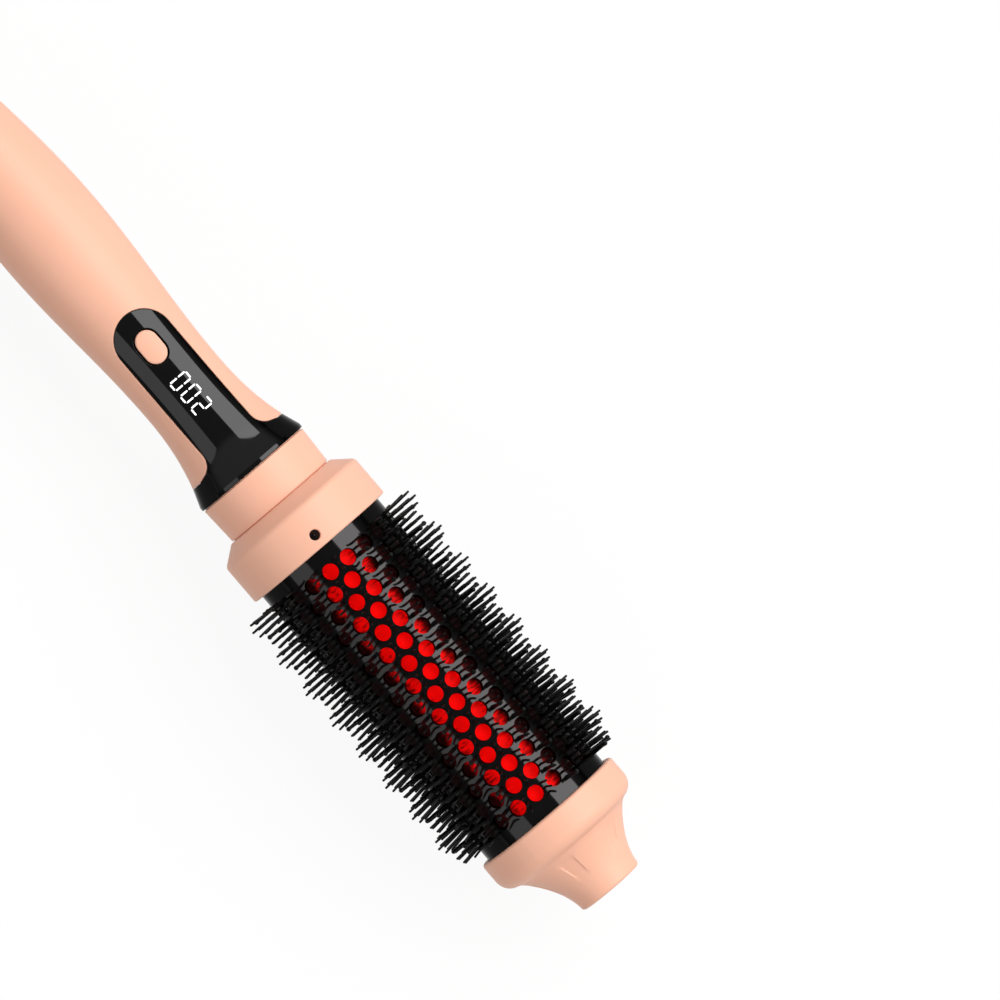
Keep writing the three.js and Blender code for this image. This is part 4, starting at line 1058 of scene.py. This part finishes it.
class BRUSH_OT_screws(bpy.types.Operator):
    """Build the two handle screws"""

    bl_idname = "brush.screws"
    bl_label = "Handle screws"

    def execute(self, context):
        low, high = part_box("handle_screw_rear")
        head = (high.x - low.x) / 2
        head_height, shank, tall = 1.6 * MM, 1.2 * MM, high.z - low.z
        profile = rounded([
            (0, 0), (head * 0.72, 0, 0.3 * MM), (head, 0.75 * MM, 0.2 * MM), (head, head_height),
            (shank, head_height), (shank, tall), (0, tall)], 3)
        screw = spun("screw", profile, (0, 0, 0), 32)
        cross = bmesh.new()
        slot_length, slot_width, slot_depth = 2.6 * MM, 0.55 * MM, 1.8 * MM
        for long, wide in ((slot_length, slot_width), (slot_width, slot_length)):
            cube = bmesh.ops.create_cube(cross, size=1.0)
            bmesh.ops.scale(cross, vec=(long, wide, slot_depth), verts=cube["verts"])
        carve(screw, built("cross", cross))
        screw.name = "handle_screws"
        rear, front = middle("handle_screw_rear"), middle("handle_screw_front")
        grown(screw, *handle_screws(), "steel", First=CORD_END + rear, Spacing=front - rear, Height=low.z)
        shade(screw.data)
        dress(screw, "handle", "steel", "handle_screw_rear", "handle_screw_front")
        return {"FINISHED"}


class BRUSH_OT_swivel(bpy.types.Operator):
    """Build the cord swivel"""

    bl_idname = "brush.swivel"
    bl_label = "Cord swivel"

    def execute(self, context):
        start, end = span("cord_swivel")
        flange = reach("cord_swivel")
        neck = flange - 1.0 * MM
        grip = neck - 0.15 * MM
        hub, bore = neck - 0.6 * MM, neck - 1.9 * MM
        flange_start = span("handle_end_ring")[1] + 0.6 * MM
        flange_end = flange_start + 1.8 * MM
        swivel = lathe("cord_swivel_bush", rounded([
            (start, bore, 0.35 * MM), (start, grip, 0.7 * MM), (-2.2 * MM, grip, 0.1 * MM),
            (-1.8 * MM, neck), (flange_start, neck), (flange_start, flange, 0.2 * MM),
            (flange_end, flange, 0.2 * MM), (flange_end, hub), (end, hub), (end, bore)]))
        ribs = bmesh.new()
        first, last = start + 1.3 * MM, -2.6 * MM
        for k in range(context.scene.brush_neck.swivel_ribs):
            turn = TURN * k / context.scene.brush_neck.swivel_ribs
            cluster = []
            for station, radius, wide in (
                    (first, neck - 0.2 * MM, 3.6), (first + 0.3 * MM, neck + 0.12 * MM, 2.6),
                    (last - 0.3 * MM, neck + 0.12 * MM, 2.6), (last, neck - 0.2 * MM, 3.6),
                    (first, neck - 0.5 * MM, 3.6), (last, neck - 0.5 * MM, 3.6)):
                for way in (-wide, wide):
                    cluster.append(ribs.verts.new(place(station, turn + way * DEGREE, radius)))
            bmesh.ops.convex_hull(ribs, input=cluster)
        swivel = join("cord_swivel_bush", swivel, built("ribs", ribs))
        dress(swivel, "swivel", "black_plastic", "cord_swivel")
        return {"FINISHED"}


class BRUSH_OT_panel(bpy.types.Operator):
    """Build the control panel with its cuff"""

    bl_idname = "brush.panel"
    bl_label = "Control panel"

    def execute(self, context):
        panel = context.scene.brush_panel
        end = span("control_panel")[1]
        shoulder = context.scene.brush_handle.shoulder_station
        step = shoulder + 0.35 * MM
        cone_start = shoulder + 0.3 * MM
        buried = cone_start + 1.0 * MM
        side = tongue_side(0, 0.0)
        last = side[-1][1]
        outline = side + [(step, last), (buried, last)] + spaced((buried, last), (buried, -last), 1 * MM)
        outline += [(buried, -last), (step, -last)]
        outline += [(station, -across) for station, across in reversed(side[1:])]
        opening = stadium(middle("power_button"), panel.button_length + 2 * panel.button_gap,
                          panel.button_width + 2 * panel.button_gap)
        loops = [wrapped(outline, handle_radius), wrapped(opening, handle_radius)]
        tongue = plate("tongue", handle_radius, loops, 1.1 * MM, panel.tongue_rounding, panel.panel_wall,
                       TONGUE_SCALE)
        inner = reach("neck_tube") - NECK_TUBE_WALL
        cuff = lathe("cuff", rounded([
            (cone_start, inner), (cone_start, handle_radius(cone_start) + 0.015 * MM),
            (cone_start + panel.cuff_cone, panel.cuff_radius, 0.4 * MM), (end, panel.cuff_radius, 0.3 * MM),
            (end, inner)], 5), 128)
        dress(join("control_panel_smoked", tongue, cuff), "handle", "gloss_black", "control_panel")
        return {"FINISHED"}


class BRUSH_OT_button(bpy.types.Operator):
    """Build the power button"""

    bl_idname = "brush.button"
    bl_label = "Power button"

    def execute(self, context):
        panel = context.scene.brush_panel
        station = middle("power_button")
        low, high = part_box("power_button")

        def raised(along):
            return handle_radius(along) + panel.button_proud

        outline = wrapped(stadium(station, panel.button_length, panel.button_width), raised)
        cap = plate("power_button_cap", raised, [outline], 0.7 * MM, panel.button_rounding, 2.6 * MM,
                    TONGUE_SCALE, 5)
        dress(cap, "button", "peach_plastic", "power_button")

        flange_top = high.z - AXIS_HEIGHT - 2.65 * MM
        ring = stadium(station, panel.button_length + 1.8 * MM, panel.button_width + 1.8 * MM)
        flange = bmesh.new()
        top, bottom = ([flange.verts.new((CORD_END + s, y, AXIS_HEIGHT + level)) for s, y in ring]
                       for level in (flange_top, flange_top - 0.8 * MM))
        flange.faces.new(top)
        flange.faces.new(bottom[::-1])
        for k in range(len(ring)):
            flange.faces.new((top[k - 1], bottom[k - 1], bottom[k], top[k]))
        bmesh.ops.recalc_face_normals(flange, faces=flange.faces)
        foot, head, radius = low.z - AXIS_HEIGHT, flange_top - 0.4 * MM, 1.5 * MM
        stem = spun("stem", [(0, foot), (radius, foot), (radius, head), (0, head)],
                    (CORD_END + station, 0, AXIS_HEIGHT), 24)
        dress(join("power_button_carrier", built("flange", flange), stem), "button", "black_plastic")
        return {"FINISHED"}


SEGMENTS = {"0": "abcdef", "1": "bc", "2": "abged", "3": "abgcd", "4": "fgbc", "5": "afgcd",
            "6": "afgedc", "7": "abc", "8": "abcdefg", "9": "abcdfg"}

# Ends of each segment, in half widths and half heights of a digit
SEGMENT_ENDS = {"a": (-1, 1, 1, 1), "g": (-1, 0, 1, 0), "d": (-1, -1, 1, -1), "b": (1, 0, 1, 1),
                "c": (1, -1, 1, 0), "f": (-1, 0, -1, 1), "e": (-1, -1, -1, 0)}


class BRUSH_OT_digits(bpy.types.Operator):
    """Build the lit digits of the display"""

    bl_idname = "brush.digits"
    bl_label = "Display digits"

    def execute(self, context):
        panel = context.scene.brush_panel
        centre = middle("display_module") + panel.digit_shift
        wide = (panel.digit_width - panel.digit_stroke) / 2
        tall = (panel.digit_height - panel.digit_stroke) / 2
        digits = bmesh.new()
        for position, sign in enumerate(f"{panel.reading:03d}"):
            station = centre + (1 - position) * panel.digit_pitch
            for letter in SEGMENTS[sign]:
                x1, y1, x2, y2 = SEGMENT_ENDS[letter]
                first, last = Vector((x1 * wide, y1 * tall)), Vector((x2 * wide, y2 * tall))
                self.segment(digits, station, first, last, panel)
        dress(built("display_digits", digits), "handle", "white_plastic", finish="lit_segments")
        return {"FINISHED"}

    def segment(self, build, station, first, last, panel):
        """A hexagonal bar with slightly rounded ends, laid on the panel's surface as a thin inlay."""
        half = panel.digit_stroke / 2
        along = (last - first).normalized()
        across = Vector((-along.y, along.x))
        first = first + along * panel.digit_gap
        last = last - along * panel.digit_gap
        long = (last - first).length
        tips = [(-0.75 * half, 0.3), (-0.3 * half, 0.75), (0.1 * half, 1.0)]
        parts = max(2, round(long / (0.35 * MM)))
        stops = tips + [(long * k / parts, 1.0) for k in range(1, parts)
                        if 0.3 * half < long * k / parts < long - 0.3 * half]
        stops += [(long - distance, share) for distance, share in reversed(tips)]
        rows = []
        for distance, share in stops:
            row = []
            for side in (1, 0, -1):
                point = first + along * distance + across * half * share * side
                x, y = station - point.x, -point.y
                turn = math.asin(y / handle_radius(x))
                row.append([build.verts.new(place(x, turn, handle_radius(x) + rise))
                            for rise in (0.02 * MM, -0.15 * MM)])
            rows.append(row)
        quads = []
        for near, far in zip(rows, rows[1:]):
            for a, b in ((0, 1), (1, 2)):
                quads.append((near[a][0], near[b][0], far[b][0], far[a][0]))
                quads.append((near[a][1], far[a][1], far[b][1], near[b][1]))
            quads += [(near[side][0], far[side][0], far[side][1], near[side][1]) for side in (0, 2)]
        for row in (rows[0], rows[-1]):
            quads += [(row[a][0], row[b][0], row[b][1], row[a][1]) for a, b in ((0, 1), (1, 2))]
        bmesh.ops.recalc_face_normals(build, faces=[build.faces.new(quad) for quad in quads])


class BRUSH_OT_neck(bpy.types.Operator):
    """Build the neck ring and the collar with its ion outlet"""

    bl_idname = "brush.neck"
    bl_label = "Neck ring and collar"

    def execute(self, context):
        sizes = context.scene.brush_neck
        bore = reach("neck_tube") - NECK_TUBE_WALL
        start, end = span("neck_ring")
        before = span("control_panel")[1] + 0.02 * MM
        after = span("collar")[0] - 0.02 * MM
        rear_lip, front_lip = sizes.ring_radius - sizes.lip_depth, sizes.ring_end_radius - sizes.lip_depth
        ring = lathe("neck_ring_band", rounded([
            (before, bore), (before, rear_lip), (start, rear_lip), (start, sizes.ring_radius, 0.2 * MM),
            (end, sizes.ring_end_radius, 0.2 * MM), (end, front_lip), (after, front_lip),
            (after, bore)]), 128)
        dress(ring, "handle", "peach_plastic", "neck_ring")

        start, end = span("collar")
        floor, ledge = start + 2.2 * MM, end - 1.8 * MM
        socket = context.scene.brush_barrel.radius + SOCKET_GAP
        top = sizes.collar_radius
        cavity = top - 2.8 * MM
        collar = lathe("collar_ring", rounded([
            (start, bore), (start, sizes.ring_radius + 0.25 * MM, 0.2 * MM),
            (start + sizes.collar_chamfer, top, 1.8 * MM), (end, top, sizes.collar_rounding),
            (end, socket, 0.15 * MM), (ledge, socket), (ledge, cavity), (start + 5.2 * MM, cavity),
            (floor, sizes.ring_radius - 2.85 * MM), (floor, bore)], 6), 128)
        radius, bevel = sizes.outlet_radius, sizes.outlet_bevel
        carve(collar, spun("outlet", [
            (0, top - 6 * MM), (radius, top - 6 * MM), (radius, top - bevel), (radius + bevel, top),
            (radius + bevel, top + 1 * MM), (0, top + 1 * MM)],
            (CORD_END + end - sizes.outlet_from_front, 0, AXIS_HEIGHT), 40))
        self.even(collar.data)
        dress(collar, "handle", "peach_plastic", "collar")
        return {"FINISHED"}

    def even(self, mesh):
        """Gives the faces of the collar's round surfaces the normals of a true turned form."""
        normals = []
        for face in mesh.polygons:
            offset = face.center - AXIS
            radial = Vector((0, offset.y, offset.z)).normalized()
            aside = face.normal - radial * face.normal.dot(radial) - Vector((face.normal.x, 0, 0))
            own = aside.length < 0.12 and radial.length > 0 and abs(face.normal.x) < 0.05
            for index in face.vertices:
                point = mesh.vertices[index].co - AXIS
                ray = Vector((0, point.y, point.z)).normalized()
                normals.append(tuple(ray if face.normal.dot(ray) > 0 else -ray) if own else (0, 0, 0))
        shade(mesh, normals, 40 * DEGREE)


def first_column(sizes):
    """The station of the first ring of holes."""
    centre = (span("collar")[1] + span("cool_tip")[0]) / 2
    return centre - (sizes.columns - 1) / 2 * sizes.pitch


def lattice_values(sizes, **changed):
    """The lattice's inputs as they are for the holes, apart from what is changed."""
    return {"Columns": sizes.columns, "Around": sizes.around, "Pitch": sizes.pitch,
            "First station": CORD_END + first_column(sizes), "Radius": sizes.radius,
            "Axis height": AXIS_HEIGHT, **changed}


class BRUSH_OT_barrel(bpy.types.Operator):
    """Build the perforated barrel and the heater sleeve"""

    bl_idname = "brush.barrel"
    bl_label = "Perforated barrel"

    def execute(self, context):
        sizes = context.scene.brush_barrel
        first = first_column(sizes)
        barrel = new_object("perforated_barrel", self.tile(sizes))
        grown(barrel, *perforations(), "coated_barrel", **lattice_values(sizes))
        build = bmesh.new()
        build.from_mesh(barrel.data)
        steps = sizes.around * 4
        inner = sizes.radius - sizes.wall
        for plain_end, holed_end in (
                (span("barrel_slice_1")[0], first - sizes.pitch / 2),
                (span("barrel_slice_4")[1], first + (sizes.columns - 0.5) * sizes.pitch)):
            rings = []
            for station, radius in ((holed_end, sizes.radius), (plain_end, sizes.radius),
                                    (plain_end, inner), (holed_end, inner)):
                rings.append([build.verts.new(place(station, TURN * k / steps, radius))
                              for k in range(steps)])
            for near, far in zip(rings, rings[1:]):
                for k in range(steps):
                    corners = (near[k - 1], near[k], far[k], far[k - 1])
                    build.faces.new(corners if plain_end < holed_end else corners[::-1])
        bmesh.ops.remove_doubles(build, verts=build.verts, dist=WELD)
        build.to_mesh(barrel.data)
        build.free()
        self.even(barrel.data, sizes)
        dress(barrel, "handle", "coated_barrel", *(f"barrel_slice_{k}" for k in (1, 2, 3, 4)))

        start, end = span("heater_sleeve")
        bore = sizes.sleeve_radius - sizes.sleeve_wall
        sleeve = lathe("heater_sleeve_red", rounded([
            (start, bore), (start, sizes.sleeve_radius, 0.3 * MM), (end, sizes.sleeve_radius, 0.3 * MM),
            (end, bore)]))
        dress(sleeve, "handle", "red_silicone", "heater_sleeve")
        return {"FINISHED"}

    def tile(self, sizes):
        """A flat piece of the wall with one hole, its rim bevelled. Height runs from the outer face down."""
        half, side = sizes.pitch / 2, math.pi * sizes.radius / sizes.around
        quarter = [(1, 0), (1, 0.5), (1, 1), (0.5, 1)]
        square = []
        for _ in range(4):
            square += [(along * half, around * side) for along, around in quarter]
            quarter = [(-around, along) for along, around in quarter]
        total = len(square)

        def ring(radius):
            turns = [TURN * k / total for k in range(total)]
            return [(radius * math.cos(turn), radius * math.sin(turn)) for turn in turns]

        rim, hole = ring(sizes.hole_radius + sizes.hole_bevel * 0.4), ring(sizes.hole_radius)
        levels = [(square, 0), (rim, 0), (hole, -sizes.hole_bevel), (hole, -sizes.wall),
                  (square, -sizes.wall)]
        verts = [(x, y, height) for points, height in levels for x, y in points]
        faces = [(start + k, start + (k + 1) % total, start + total + (k + 1) % total, start + total + k)
                 for start in range(0, total * 4, total) for k in range(total)]
        mesh = bpy.data.meshes.new("tile")
        mesh.from_pydata(verts, [], faces)
        return mesh

    def even(self, mesh, sizes):
        """True round normals on the outer face, and soft ones on the rims of the holes and on the inner
        face.
        """
        normals = []
        outer = sizes.radius - 0.01 * MM
        for face in mesh.polygons:
            points = [mesh.vertices[v].co - AXIS for v in face.vertices]
            round_face = all(math.hypot(p.y, p.z) > outer for p in points)
            for point in points:
                ray = Vector((0, point.y, point.z)).normalized()
                normals.append(tuple(ray) if round_face else (0, 0, 0))
        shade(mesh, normals, 50 * DEGREE)


class BRUSH_OT_bristles(bpy.types.Operator):
    """Build the bristle tufts and the ball-tipped pins"""

    bl_idname = "brush.bristles"
    bl_label = "Bristles and pins"

    def execute(self, context):
        sizes = context.scene.brush_barrel
        tuft = bmesh.new()
        for side in (-1, 0, 1):
            root = Vector((side * sizes.strand_spacing, 0, -0.6 * MM))
            tip = Vector((side * (sizes.strand_spacing + sizes.strand_spread), 0,
                          sizes.tall - 0.2 * MM - abs(side) * 0.75 * MM))
            self.strand(tuft, root, tip, sizes.strand_radius, 6, 2)
        tufts = built("bristle_tufts", tuft)
        lattice = lattice_values(sizes, Pitch=sizes.tuft_pitch)
        grown(tufts, *bristle_tufts(), "bristles", **{
            **lattice, "First station": lattice["First station"] - sizes.tuft_shift,
            "Short share": sizes.short / sizes.tall, "Lean": sizes.tuft_lean, "Fan": sizes.tuft_fan,
            "Seed": 7})
        for vertex in tufts.data.vertices:
            # The lowest strands bend where they meet the surface that the brush lies on
            vertex.co.z = max(vertex.co.z, CAD_BOX[0][2] + 0.02 * MM)

        ball, centre, foot = sizes.ball_radius, sizes.pin_height, -0.5 * MM
        outline = [(0, foot), (sizes.pin_radius * 1.1, foot), (sizes.pin_radius * 0.9, centre - ball)]
        outline += [(ball * math.cos(t * DEGREE), centre + ball * math.sin(t * DEGREE))
                    for t in (-35, 0, 35, 65)]
        pins = spun("ball_pins", outline + [(0, centre + ball)], (0, 0, 0), 10)
        grown(pins, *ball_pins(), "bristles", **{
            **lattice, "First station": lattice["First station"] - 0.2 * MM,
            "Forward shift": sizes.pin_shift_left, "Backward shift": sizes.pin_shift_right})
        for piece in (tufts, pins):
            shade(piece.data, sharp=60 * DEGREE)
            dress(piece, "handle", "coated_barrel", finish="bristles")
        return {"FINISHED"}

    def strand(self, build, root, tip, radius, sides, rings):
        """A strand from its root to its tip, thinner and slightly bent towards the tip."""
        shift = tip - root
        levels = []
        for share in (step / rings for step in range(rings + 1)):
            centre = root + Vector((shift.x * share ** 1.5, shift.y * share ** 1.5, shift.z * share))
            wide = radius * (1 - 0.12 * share)
            levels.append([build.verts.new((
                centre.x + wide * math.cos(TURN * k / sides), centre.y + wide * math.sin(TURN * k / sides),
                centre.z)) for k in range(sides)])
        top = build.verts.new((tip.x, tip.y, tip.z + radius * 0.6))
        for near, far in zip(levels, levels[1:]):
            for k in range(sides):
                build.faces.new((near[k - 1], near[k], far[k], far[k - 1]))
        for k in range(sides):
            build.faces.new((levels[-1][k - 1], levels[-1][k], top))
        build.faces.new(levels[0][::-1])


class BRUSH_OT_tip(bpy.types.Operator):
    """Build the cool tip with its flutes"""

    bl_idname = "brush.tip"
    bl_label = "Cool tip"

    def execute(self, context):
        sizes, barrel = context.scene.brush_tip, context.scene.brush_barrel
        start, end = span("cool_tip")
        shoulder = start + sizes.cylinder
        neck = shoulder + sizes.shoulder_length
        neck_top = sizes.radius - sizes.shoulder_drop
        socket = barrel.radius + SOCKET_GAP
        flute_start = neck + sizes.flute_start
        flute_end = flute_start + sizes.flute_length
        rounding = end - sizes.end_rounding
        edge = 0.35 * MM

        def neck_radius(station):
            share = (station - neck) / (end - neck)
            return sizes.neck_radius + (neck_top - sizes.neck_radius) * (1 - share) ** sizes.neck_power

        outer = [(start, socket)]
        rim = [(start, barrel.radius), (start, sizes.radius, sizes.rim), (shoulder, sizes.radius)]
        outer += rounded(rim, 6)[1:-1]
        for turn in (math.pi / 2 * k / 14 for k in range(11)):
            outer.append((shoulder + sizes.shoulder_length * math.sin(turn),
                          neck_top + sizes.shoulder_drop * math.cos(turn)))
        marks = (flute_start, flute_start + edge, flute_end - edge, flute_end)
        stations = {s for s in np.linspace(neck, rounding, 24)[1:]
                    if min(abs(s - mark) for mark in marks) > 0.15 * MM}
        along_neck = [(s, neck_radius(s)) for s in sorted(stations.union(marks))][1:]
        crease = (neck + 0.25 * MM, neck_top - 0.05 * MM, sizes.crease)
        outer += rounded([outer[-1], crease, along_neck[0]])[1:-1] + along_neck
        last = neck_radius(rounding)
        for turn in (math.pi / 2 * k / 5 for k in range(1, 6)):
            outer.append((rounding + sizes.end_rounding * math.sin(turn),
                          last - sizes.end_rounding * (1 - math.cos(turn))))

        # Angles: even steps, with extra ones at the flutes' edges
        half = sizes.flute_width / 2
        soft = 1.5 * DEGREE
        step = TURN / sizes.flutes
        turns = []
        for centre in (sizes.flute_turn + step * k for k in range(sizes.flutes)):
            turns.append(centre - half)
            turns += list(np.linspace(centre - half + soft, centre + half - soft, 5))
            turns += list(np.linspace(centre + half, centre + step - half, 13)[:-1])

        def sunk(station, turn):
            away = abs((turn - sizes.flute_turn + step / 2) % step - step / 2)
            if away > half - 1e-6 or not flute_start < station < flute_end:
                return 0.0
            into = min(1.0, (station - flute_start) / (1.2 * MM), (flute_end - station) / (2.5 * MM))
            return sizes.flute_depth * into

        hollow_end = end - sizes.wall
        bore = barrel.radius - barrel.wall
        barrel_end = span("barrel_slice_4")[1] + 0.3 * MM
        inner = [(end, 0.0), (hollow_end, 0.0)]
        inner += [(s, neck_radius(s) - sizes.wall) for s in np.linspace(hollow_end, neck, 6)]
        inner += [(shoulder, bore), (barrel_end, bore), (barrel_end, socket)]
        rows = [(s, r, True) for s, r in outer] + [(s, r, False) for s, r in inner]
        total = len(turns)
        verts = []
        for station, radius, fluted in rows:
            verts += [place(station, turn, radius - (sunk(station, turn) if fluted else 0))
                      for turn in turns]
        faces = []
        for row, (_, near, _) in enumerate(rows):
            following = (row + 1) % len(rows)
            far = rows[following][1]
            if near < ON_AXIS and far < ON_AXIS:
                continue
            for k in range(total):
                beside = (k + 1) % total
                corners = [row * total + k, following * total + k,
                           following * total + beside, row * total + beside]
                if near < ON_AXIS:
                    del corners[3]
                elif far < ON_AXIS:
                    del corners[2]
                faces.append(corners)
        tip = new_mesh("cool_tip_knob", verts, faces)
        build = bmesh.new()
        build.from_mesh(tip.data)
        bmesh.ops.remove_doubles(build, verts=build.verts, dist=1e-7)
        bmesh.ops.recalc_face_normals(build, faces=build.faces)
        build.to_mesh(tip.data)
        build.free()
        shade(tip.data, sharp=32 * DEGREE)
        tip.modifiers.new("even shading", "WEIGHTED_NORMAL").keep_sharp = True
        dress(tip, "handle", "peach_plastic", "cool_tip")
        return {"FINISHED"}


class BRUSH_OT_inner_finishes(bpy.types.Operator):
    """Give every CAD piece that still shows its finish"""

    bl_idname = "brush.inner_finishes"
    bl_label = "Finishes of the inner pieces"

    def execute(self, context):
        for part in frame["record"]["subparts"]:
            thing = frame["nodes"][part["node"]]
            thing.data.materials.clear()
            thing.data.materials.append(material_of(part["material_slot"]))
        return {"FINISHED"}


# Stage


# Where the camera is, what it looks at, and its right-hand side, measured from the photograph
CAMERA_SPOT = Vector((-2.75, -128.4, 2482.5)) * MM
CAMERA_TARGET = Vector((61.0, 42.1, 25.9)) * MM
CAMERA_RIGHT = Vector((0.6507, 0.7593, 0.0))

# Where the lamps point, and how far forward they reach
LAMP_CENTRE = Vector((0.035, 0.0, AXIS_HEIGHT))
LAMP_AHEAD = 47 * DEGREE


def aimed(thing, right, up, back, spot):
    """Puts a lamp or camera at a spot, with its three directions."""
    thing.matrix_world = Matrix([*zip(right, up, back, spot), (0, 0, 0, 1)])


class BRUSH_OT_stage(bpy.types.Operator):
    """Set the floor, the lamps, the surroundings and the camera"""

    bl_idname = "brush.stage"
    bl_label = "Stage"

    def execute(self, context):
        scene = context.scene
        sizes = scene.brush_stage
        half, level = sizes.floor_size / 2, -0.2 * MM
        mesh = bpy.data.meshes.new("floor")
        corners = [(-half, -half, level), (half, -half, level), (half, half, level), (-half, half, level)]
        mesh.from_pydata(corners, [], [(0, 1, 2, 3)])
        floor = new_object("floor", mesh)
        mesh.materials.append(self.floor_material())
        for name, tilt, spread, behind, brightness in (
                ("key_softbox", 40, 42, 30.4, sizes.key_level),
                ("fill_softbox", -51, 34, 26.2, sizes.fill_level)):
            self.lamp(name, tilt * DEGREE, spread * DEGREE, behind * DEGREE, brightness, sizes.lamp_distance)
        self.surroundings(scene, sizes.air_level)

        data = bpy.data.cameras.new("camera")
        data.lens = sizes.camera_lens
        data.sensor_width = 36
        data.clip_end = 30
        scene.camera = new_object("camera", data)
        back = (CAMERA_SPOT - CAMERA_TARGET).normalized()
        right = (CAMERA_RIGHT - back * CAMERA_RIGHT.dot(back)).normalized()
        aimed(scene.camera, right, back.cross(right), back, CAMERA_SPOT)
        scene.view_settings.view_transform = "Standard"
        return {"FINISHED"}

    def lamp(self, name, tilt, spread, behind, level, distance):
        """A long softbox parallel to the brush, which reaches behind by an angle from its middle.

        Level is the brightness of its face."""
        wide = 2 * distance * math.tan(spread / 2)
        long = distance * (math.tan(behind) + math.tan(LAMP_AHEAD))
        shift = distance * (math.tan(LAMP_AHEAD) - math.tan(behind)) / 2
        data = bpy.data.lights.new(name, "AREA")
        data.shape = "RECTANGLE"
        data.size = long
        data.size_y = wide
        # A square metre of a face with a brightness of 1 takes 4 W
        data.energy = 4 * long * wide * level
        away = Vector((0, math.sin(tilt), math.cos(tilt)))
        along = Vector((1, 0, 0))
        spot = LAMP_CENTRE + away * distance + along * shift
        aimed(new_object(name, data), along, away.cross(along), away, spot)

    def floor_material(self):
        """White paper: it takes a faint shadow, and shows white to the camera and in reflections."""
        material = bpy.data.materials.new("white_paper")
        material.use_nodes = True
        tree = material.node_tree
        tree.nodes.clear()
        rays = add(tree, "ShaderNodeLightPath").outputs
        mirrored = add(tree, MATH, {0: rays["Is Glossy Ray"], 1: rays["Is Transmission Ray"]},
                       operation="MAXIMUM")
        seen = add(tree, MATH, {0: rays["Is Camera Ray"], 1: mirrored}, operation="MAXIMUM")
        tone = add(tree, "ShaderNodeMix", {0: seen, 6: linear("#A0A0A0"), 7: linear("#FAFAFA")},
                   data_type="RGBA")
        paper = add(tree, "ShaderNodeBsdfDiffuse", {"Color": tone.outputs[2]})
        white = add(tree, "ShaderNodeEmission", {"Color": linear("#FFFFFF"), "Strength": 1.0})
        share = add(tree, MATH, {0: seen, 1: 0.92}, operation="MULTIPLY")
        mixed = add(tree, "ShaderNodeMixShader", {0: share, 1: paper, 2: white})
        add(tree, "ShaderNodeOutputMaterial", {"Surface": mixed})
        return material

    def surroundings(self, scene, level):
        """Even soft light, shown as white at the horizon, dim behind and dark overhead, as in a studio."""
        scene.world = bpy.data.worlds.new("studio")
        scene.world.use_nodes = True
        tree = scene.world.node_tree
        tree.nodes.clear()
        way = add(tree, "ShaderNodeSeparateXYZ", {
            "Vector": add(tree, "ShaderNodeTexCoord").outputs["Generated"]}).outputs
        horizon = add(tree, RANGE, {
            "Value": way["Z"], "From Min": 0.02, "From Max": 0.12, "To Min": 1.0, "To Max": 0.07},
            interpolation_type="SMOOTHSTEP")
        wall = add(tree, RANGE, {
            "Value": way["X"], "From Min": -0.40, "From Max": -0.46, "To Min": 0.0, "To Max": 0.3})
        brighter = add(tree, MATH, {0: horizon, 1: wall}, operation="MAXIMUM")
        rays = add(tree, "ShaderNodeLightPath").outputs
        seen = add(tree, MATH, {0: rays["Is Glossy Ray"], 1: rays["Is Transmission Ray"]},
                   operation="MAXIMUM")
        unseen = add(tree, MATH, {0: 1.0, 1: seen}, operation="SUBTRACT")
        even = add(tree, MATH, {0: unseen, 1: level}, operation="MULTIPLY")
        shown = add(tree, MATH, {0: brighter, 1: seen, 2: even}, operation="MULTIPLY_ADD")
        whole = add(tree, "ShaderNodeMix", {0: rays["Is Camera Ray"], 2: shown, 3: 1.0}, data_type="FLOAT")
        air = add(tree, "ShaderNodeBackground", {"Color": linear("#FFFFFF"), "Strength": whole})
        add(tree, "ShaderNodeOutputWorld", {"Surface": air})


# Registration


PIECES = (
    BRUSH_OT_stage, BRUSH_OT_inner_finishes, BRUSH_OT_shells, BRUSH_OT_screws, BRUSH_OT_swivel,
    BRUSH_OT_panel, BRUSH_OT_button, BRUSH_OT_digits, BRUSH_OT_neck, BRUSH_OT_barrel, BRUSH_OT_bristles,
    BRUSH_OT_tip)

GROUPS = {
    "brush_handle": HandleSizes, "brush_panel": PanelSizes, "brush_neck": NeckSizes,
    "brush_barrel": BarrelSizes, "brush_tip": TipSizes, "brush_colours": BrushColours,
    "brush_stage": StageSizes}


class BRUSH_PT_pieces(bpy.types.Panel):
    """Buttons for the pieces, and their sizes"""

    bl_idname = "BRUSH_PT_pieces"
    bl_label = "Round Brush"
    bl_space_type = "VIEW_3D"
    bl_region_type = "UI"
    bl_category = "Round Brush"

    def draw(self, context):
        for piece in PIECES:
            self.layout.operator(piece.bl_idname)
        for title, group in GROUPS.items():
            box = self.layout.box()
            box.label(text=group.__doc__)
            for key in group.__annotations__:
                box.prop(getattr(context.scene, title), key)


CLASSES = (*GROUPS.values(), *PIECES, BRUSH_PT_pieces)


def register():
    for kind in CLASSES:
        bpy.utils.register_class(kind)
    for title, group in GROUPS.items():
        setattr(bpy.types.Scene, title, PointerProperty(type=group))


def unregister():
    for title in GROUPS:
        delattr(bpy.types.Scene, title)
    for kind in reversed(CLASSES):
        bpy.utils.unregister_class(kind)


def main():
    register()
    bpy.ops.brush.stage()
    bpy.ops.brush.inner_finishes()
    bpy.ops.brush.shells()
    bpy.ops.brush.screws()
    bpy.ops.brush.swivel()
    bpy.ops.brush.panel()
    bpy.ops.brush.button()
    bpy.ops.brush.digits()
    bpy.ops.brush.neck()
    bpy.ops.brush.barrel()
    bpy.ops.brush.bristles()
    bpy.ops.brush.tip()


if __name__ == "__main__":
    main()
